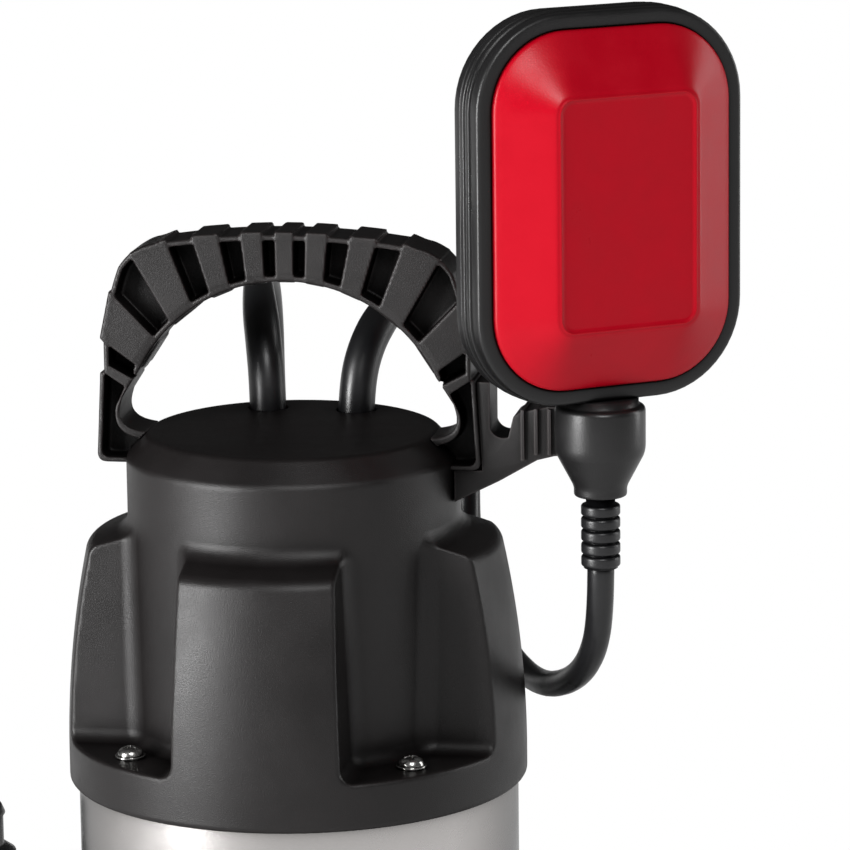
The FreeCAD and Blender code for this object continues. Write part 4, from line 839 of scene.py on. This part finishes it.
# Outlet -----------------------
# An elbow clamped by a lobed union nut turns the flow upward into a stepped hose adapter. These are
# a slightly glossier black plastic than the cover and show the mark of use on their edges.
outlet_plastic = skin_material(
    "outlet_plastic", (0.007, 0.007, 0.0075), (0.016, 0.016, 0.017), (0.10, 0.10, 0.10), 0.34, 0.06,
    2200.0, 0.00004, edge_radius=0.0005, edge_width=0.0014, specular=0.4,
)
for node, width in (("outlet_elbow", 0.0007), ("union_nut", 0.0008), ("hose_adapter", 0.0006)):
    softened(node, width, outlet_plastic, "housing", 2)

# Motor ------------------------
# Inside the jacket: a steel can round the laminated core and its copper end windings, cast bearing
# carriers above and below, and a rotor core in the same stamped steel, end rings included.
cast_aluminium = skin_material(
    "aluminium_casting", (0.36, 0.36, 0.36), (0.50, 0.50, 0.50), (0.7, 0.7, 0.7), 0.48, 0.08,
    1200.0, 0.00008, metallic=1.0, edge_width=0.001,
)
lamination_steel = skin_material(
    "lamination_steel", (0.16, 0.17, 0.19), (0.26, 0.27, 0.29), (0.42, 0.42, 0.43), 0.42, 0.06,
    2600.0, 0.00006, metallic=1.0,
)
copper_winding = skin_material(
    "copper_winding", (0.42, 0.13, 0.05), (0.60, 0.22, 0.09), (0.75, 0.36, 0.18), 0.34, 0.07,
    1400.0, 0.0003, metallic=1.0, brushed=0.5,
)
machined_steel = skin_material(
    "machined_steel", (0.46, 0.46, 0.47), (0.58, 0.58, 0.59), (0.8, 0.8, 0.8), 0.22, 0.05,
    1600.0, 0.00001, metallic=1.0, brushed=0.6,
)

# Shaft seal and impeller ------
# A white ceramic seat with a black carbon head running on it keeps water out of the motor. Below it
# turns a black glass filled impeller with backward curved vanes, held by a stainless nut.
seal_ceramic = skin_material(
    "seal_ceramic", (0.72, 0.71, 0.67), (0.80, 0.79, 0.76), (0.86, 0.86, 0.84), 0.25, 0.04,
    2000.0, 0.00001,
)
seal_carbon = skin_material(
    "seal_carbon", (0.02, 0.02, 0.021), (0.035, 0.035, 0.036), (0.08, 0.08, 0.08), 0.38, 0.06,
    2400.0, 0.00002,
)
impeller_plastic = skin_material(
    "impeller_plastic", (0.012, 0.012, 0.013), (0.03, 0.03, 0.032), (0.12, 0.12, 0.12), 0.42, 0.06,
    1500.0, 0.00005,
)
softened("impeller", 0.0004, impeller_plastic, "rotor", 2)

# Electrical parts -------------
# The run capacitor is a drawn can in a grey sleeve beside the shaft's top bearing, and the terminal
# block under the lid is a pale moulding where the two cables end. The table gives every enclosed
# piece its finish.
capacitor_case = skin_material(
    "capacitor_case", (0.42, 0.43, 0.45), (0.52, 0.53, 0.55), (0.7, 0.7, 0.7), 0.36, 0.05,
    1500.0, 0.00002,
)
terminal_plastic = skin_material(
    "terminal_plastic", (0.62, 0.60, 0.54), (0.70, 0.68, 0.62), (0.8, 0.78, 0.74), 0.42, 0.05,
    1400.0, 0.00002,
)
switch_plastic = skin_material(
    "switch_plastic", (0.02, 0.022, 0.03), (0.04, 0.043, 0.055), (0.1, 0.1, 0.12), 0.38, 0.05,
    1500.0, 0.00002,
)
inner_finish = {
    "lower_bearing_housing": (cast_aluminium, "aluminium_casting"),
    "upper_bearing_bracket": (cast_aluminium, "aluminium_casting"),
    "motor_can": (stainless, "stainless"),
    "stator_core": (lamination_steel, "lamination_steel"),
    "stator_windings": (copper_winding, "copper_winding"),
    "rotor_core": (lamination_steel, "lamination_steel"),
    "rotor_shaft": (machined_steel, "stainless"),
    "lower_bearing": (machined_steel, "bright_steel"),
    "upper_bearing": (machined_steel, "bright_steel"),
    "impeller_nut": (machined_steel, "stainless"),
    "seal_seat": (seal_ceramic, "seal_ceramic"),
    "seal_head": (seal_carbon, "seal_carbon"),
    "run_capacitor": (capacitor_case, "capacitor_case"),
    "terminal_block": (terminal_plastic, "terminal_plastic"),
    "ball_track": (switch_plastic, "switch_plastic"),
    "micro_switch": (switch_plastic, "switch_plastic"),
    "switch_ball": (machined_steel, "ball_steel"),
}
for node, (material, finish) in inner_finish.items():
    paint(nodes[node], material)

# Float switch -----------------
# A flat hollow float: two glossy red half shells, each a wide bevel up to a plain raised panel,
# clamped in a black rubber rim with two fine ridges along its edge. A rubber collar and a ribbed
# boot below hold its cable.
float_spot = Vector((0.106, -0.031, 0))
float_turn = math.radians(35)
float_low, float_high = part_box("float_rim")[0].z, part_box("float_rim")[1].z
float_middle = (float_low + float_high) / 2
float_width, float_tall, float_corner = 0.093, 0.124, 0.030
rim_depth, corner_steps, straight_steps = 0.017, 14, 12
panel_width, panel_tall, panel_corner, panel_depth = 0.050, 0.076, 0.006, 0.0205


def rounded_outline(width, tall, corner, count):
    """Points and outward directions round an upright rounded rectangle, the same count a corner."""
    points = []
    for cx, cz, start in ((1, 1, 0), (-1, 1, 90), (-1, -1, 180), (1, -1, 270)):
        for step in range(count + 1):
            angle = math.radians(start + 90 * step / count)
            out = (math.cos(angle), math.sin(angle))
            points.append((
                cx * (width / 2 - corner) + corner * out[0],
                cz * (tall / 2 - corner) + corner * out[1], out,
            ))
    dense = []
    for number, (x, z, out) in enumerate(points):
        ahead = points[(number + 1) % len(points)]
        dense.append((x, z, out))
        if number % (count + 1) == count:
            for step in range(1, straight_steps):
                part = step / straight_steps
                dense.append((x + (ahead[0] - x) * part, z + (ahead[1] - z) * part, out))
    return dense


def on_float(piece, height=None):
    """Stands a piece made about the float's middle at the float's place and turn."""
    turn = Matrix.Rotation(float_turn, 4, "Z")
    lift = float_middle if height is None else height
    piece.data.transform(Matrix.Translation(float_spot + Vector((0, 0, lift))) @ turn)
    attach(piece, "float_switch")
    return piece


# rim section, as distance in from the outer edge and depth from the middle
half_rim = rim_depth / 2
rim_section = (
    bend((0.0052, -half_rim + 0.0006), (0.0050, -half_rim), (0.0044, -half_rim), 3)
    + bend((0.0016, -half_rim), (0.0, -half_rim), (0.0, -half_rim + 0.0016), 5)
    + bend((0.0, -0.0044), (0.0, -0.0040), (0.0006, -0.0038), 3)
    + bend((0.0006, -0.0032), (-0.0004, -0.0030), (-0.0004, -0.0026), 3)
    + bend((-0.0004, -0.0014), (-0.0004, -0.0008), (0.0005, -0.0006), 3)
    + bend((0.0005, 0.0006), (-0.0004, 0.0008), (-0.0004, 0.0014), 3)
    + bend((-0.0004, 0.0026), (-0.0004, 0.0030), (0.0006, 0.0032), 3)
    + bend((0.0006, 0.0038), (0.0, 0.0040), (0.0, 0.0044), 3)
    + bend((0.0, half_rim - 0.0016), (0.0, half_rim), (0.0016, half_rim), 5)
    + bend((0.0044, half_rim), (0.0050, half_rim), (0.0052, half_rim - 0.0006), 3)
    + [(0.0054, half_rim - 0.0022), (0.0054, -half_rim + 0.0022)]
)
outline = rounded_outline(float_width, float_tall, float_corner, corner_steps)
rim_rings = [
    [(x - out[0] * inward, depth, z - out[1] * inward) for inward, depth in rim_section]
    for x, z, out in outline
]
float_rim = loft("float_rim_moulding", rim_rings + [rim_rings[0]], False, False)
rim_rubber = skin_material(
    "rim_rubber", (0.005, 0.005, 0.005), (0.012, 0.0115, 0.012), (0.07, 0.07, 0.07), 0.34, 0.08,
    1600.0, 0.00004, cloud_scale=45.0, edge_width=0.0008, specular=0.35,
)
paint(float_rim, rim_rubber)
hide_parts("float_rim")
on_float(float_rim)

shell_inset = 0.0052
shell_outline = [
    float_width - 2 * shell_inset, float_tall - 2 * shell_inset, float_corner - shell_inset
]
float_red = skin_material(
    "float_red", (0.33, 0.0002, 0.007), (0.42, 0.0004, 0.010), (0.62, 0.08, 0.06), 0.33, 0.06,
    1400.0, 0.00003, cloud_scale=70.0, edge_radius=0.0003, specular=0.18, flank=0.1,
)


def shell_station(part, depth):
    """One ring of the shell's bevel, a share of the way from the rim to the panel."""
    width = shell_outline[0] + (panel_width - shell_outline[0]) * part
    tall = shell_outline[1] + (panel_tall - shell_outline[1]) * part
    corner = shell_outline[2] + (panel_corner - shell_outline[2]) * part
    return [(x, -depth, z) for x, z, out in rounded_outline(width, tall, corner, corner_steps)]


edge_depth, edge_round, line_height = half_rim + 0.0012, 0.0006, 0.0003
bevel_start, bevel_end, bevel_steps = 0.05, 0.89, 9
for name, node, turned in (
    ("float_shell_front_moulding", "float_shell_front", 0),
    ("float_shell_back_moulding", "float_shell_back", math.pi),
):
    rings = [shell_station(0, half_rim - 0.003), shell_station(0, edge_depth - edge_round)]
    rings += [shell_station(p, q) for p, q in bend(
        (0, edge_depth - edge_round), (0, edge_depth), (bevel_start, edge_depth + edge_round), 4
    )]
    slope = (panel_depth - edge_depth - edge_round) / 0.95
    for step in range(1, bevel_steps):
        part = bevel_start + bevel_end * step / bevel_steps
        rings.append(shell_station(part, edge_depth + edge_round + slope * (part - bevel_start)))
    rings += [shell_station(p, q) for p, q in bend(
        (0.94, edge_depth + edge_round + slope * bevel_end), (0.99, panel_depth - 0.0001),
        (1.02, panel_depth), 5,
    )]
    # the fine raised line round the panel
    line_depth = panel_depth + line_height
    for inset, depth in (
        (0.0008, panel_depth), (0.0011, line_depth), (0.0015, line_depth), (0.0018, panel_depth),
        (0.003, panel_depth),
    ):
        rings.append([
            (x, -depth, z) for x, z, out in rounded_outline(
                panel_width - 2 * inset, panel_tall - 2 * inset,
                max(panel_corner - inset, 0.002), corner_steps,
            )
        ])
    half_shell = loft(name, rings)
    half_shell.data.transform(Matrix.Rotation(turned, 4, "Z"))
    paint(half_shell, float_red)
    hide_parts(node)
    on_float(half_shell)


def turned_piece(name, profile, sides=64):
    """A piece turned about an upright axis from points of radius and height."""
    rings = []
    for radius, height in profile:
        rings.append([
            (radius * math.cos(a), radius * math.sin(a), height)
            for a in (2 * math.pi * side / sides for side in range(sides))
        ])
    return loft(name, rings)


gland_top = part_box("float_gland")[1].z
gland_profile = (
    [(0.0, 0.0), (0.0123, 0.0), (0.0123, -0.0022)]
    + bend((0.0131, -0.0026), (0.0144, -0.0029), (0.0145, -0.0044), 5)
    + bend((0.0145, -0.0150), (0.0145, -0.0176), (0.0136, -0.0193), 6)
    + bend((0.0091, -0.0278), (0.0086, -0.0288), (0.0085, -0.0298), 4)
    + bend((0.0085, -0.0311), (0.0085, -0.0321), (0.0076, -0.0321), 4)
    + [(0.0, -0.0321)]
)
float_gland = turned_piece("float_gland_moulding", gland_profile)
paint(float_gland, rim_rubber)
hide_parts("float_gland")
on_float(float_gland, gland_top)

boot_low, boot_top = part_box("float_bend_boot")[0].z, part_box("float_bend_boot")[1].z
boot_radius, boot_bore, bore_depth, rib_count, neck = 0.0063, 0.0047, 0.014, 5, 0.0028
rib_pitch = (boot_top - neck - boot_low) / rib_count
boot_profile = [(0.0, boot_top), (boot_bore, boot_top), (boot_bore, boot_top - neck)]
for rib in range(rib_count):
    level = boot_top - neck - rib * rib_pitch
    boot_profile += bend(
        (boot_radius - 0.0007, level), (boot_radius + 0.0001, level - 0.0002),
        (boot_radius, level - 0.0012), 4,
    )
    boot_profile += bend(
        (boot_radius, level - rib_pitch + 0.0017),
        (boot_radius + 0.0001, level - rib_pitch + 0.0007),
        (boot_radius - 0.0007, level - rib_pitch + 0.0006), 4,
    )
    if rib < rib_count - 1:
        boot_profile += bend(
            (boot_radius - 0.0011, level - rib_pitch + 0.0005),
            (boot_radius - 0.0014, level - rib_pitch + 0.00025),
            (boot_radius - 0.0011, level - rib_pitch), 3,
        )
boot_profile += [
    (boot_radius - 0.0008, boot_low), (boot_bore, boot_low),
    (boot_bore, boot_low + bore_depth), (0.0, boot_low + bore_depth),
]
float_boot = turned_piece("float_bend_boot_moulding", boot_profile, 48)
paint(float_boot, cable_rubber)
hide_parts("float_bend_boot")
on_float(float_boot, 0)

# Cable sleeves ----------------
# Two thick glossy rubber sleeves moulded onto the cables. Each stands in a hole in the lid, bends
# back under the handle and thins towards its free end.
sleeve_radius, sleeve_end, taper_from = 0.0061, 0.0050, 0.6


def sleeve_size(part):
    """The sleeve's radius a share of the way along: plain, then thinning to its free end."""
    return sleeve_radius + (sleeve_end - sleeve_radius) * max(0, (part - taper_from) / 0.4) ** 1.5


for name, node, route in (
    ("power_sleeve_moulding", "power_cable_sleeve",
     [(-15, 32.5, 288), (-15, 32.5, 303), (-17.5, 38.5, 319), (-21.5, 51.5, 329.5),
      (-24.6, 66, 332)]),
    ("float_sleeve_moulding", "float_cable_sleeve",
     [(15, 32.5, 288), (15, 32.5, 303), (18, 39, 318.5), (24.5, 51, 329.5), (28, 64, 331.5)]),
):
    line = cable_curve(name + "_line", metres(route), 0)
    line.data.splines[0].resolution_u = 16
    traced = bpy.data.meshes.new_from_object(line)
    sleeve_path = [tuple(v.co) for v in traced.vertices]
    bpy.data.objects.remove(line)
    sleeve = tube_mesh(name, sleeve_path, sleeve_size, 40)
    paint(sleeve, cable_rubber)
    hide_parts(node)
    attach(sleeve, "housing")

# Cover screws -----------------
# Four long pan head screws with cross recesses and plain washers clamp the cover, jacket and pump
# casing together. They are bright zinc plated steel, a little dulled and scratched.
bolt_circle = 0.0655
bolt_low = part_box("cover_bolts")[0].z
washer_low, head_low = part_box("cover_washers")[0].z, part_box("cover_washers")[1].z
head_radius, head_height, dome_radius, bolt_radius = 0.0043, 0.0028, 0.0062, 0.0024
slot_half, slot_reach, slot_taper, slot_floor = 0.00055, 0.0024, 0.25, 0.0010


def screw_field(x, y, z):
    """How far a point lies outside a pan head with its cross recess."""
    out = np.hypot(x, y)
    dome = np.sqrt(x ** 2 + y ** 2 + (z - head_height + dome_radius) ** 2) - dome_radius
    head = rounded_meet(rounded_meet(out - head_radius, dome, 0.0010), -z, 0.0002)
    taper = slot_taper * (z - head_height)
    slot_one = np.maximum(np.abs(x) - slot_half - taper, np.abs(y) - slot_reach - taper)
    slot_two = np.maximum(np.abs(y) - slot_half - taper, np.abs(x) - slot_reach - taper)
    cross = rounded_meet(np.minimum(slot_one, slot_two), slot_floor - z, 0.0001)
    return rounded_meet(head, -cross, 0.00018)


heads = skin_from_field(
    "cover_screws", screw_field, (-0.005, -0.005, -0.0005), (0.005, 0.005, 0.0034), 0.00022
)
head_mesh = heads.data
shaft = turned_piece("screw_shaft", [
    (0.0, bolt_low - head_low), (bolt_radius * 0.8, bolt_low - head_low),
    (bolt_radius, bolt_low - head_low + 0.0006), (bolt_radius, 0.0001), (0.0, 0.0001),
], 20)
washer_section = (
    bend((0.0026, 0.0), (0.0025, 0.0), (0.0025, 0.0002), 2)
    + bend((0.0025, 0.0008), (0.0025, 0.001), (0.0027, 0.001), 2)
    + bend((0.0046, 0.001), (0.005, 0.001), (0.005, 0.0007), 3)
    + bend((0.005, 0.0003), (0.005, 0.0), (0.0047, 0.0), 3)
)
washer = loft("washer", turned_rings(washer_section, 40), False, False)
screws = bmesh.new()
washers = bmesh.new()
for number in range(4):
    angle = math.radians(45 + 90 * number)
    spot = Vector((bolt_circle * math.cos(angle), bolt_circle * math.sin(angle), 0))
    turn = Matrix.Rotation(0.35 + 1.1 * number, 4, "Z")
    for mesh in (head_mesh, shaft.data):
        copy = mesh.copy()
        copy.transform(Matrix.Translation(spot + Vector((0, 0, head_low))) @ turn)
        screws.from_mesh(copy)
    copy = washer.data.copy()
    copy.transform(Matrix.Translation(spot + Vector((0, 0, washer_low))))
    washers.from_mesh(copy)
screws.to_mesh(head_mesh)
screws.free()
washers.to_mesh(washer.data)
washers.free()
bpy.data.objects.remove(shaft)
washer.name = "screw_washers"
for piece, node in ((heads, "cover_bolts"), (washer, "cover_washers")):
    smooth(piece.data)
    paint(piece, bright_steel)
    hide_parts(node)
    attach(piece, "housing")

bpy.context.view_layer.update()
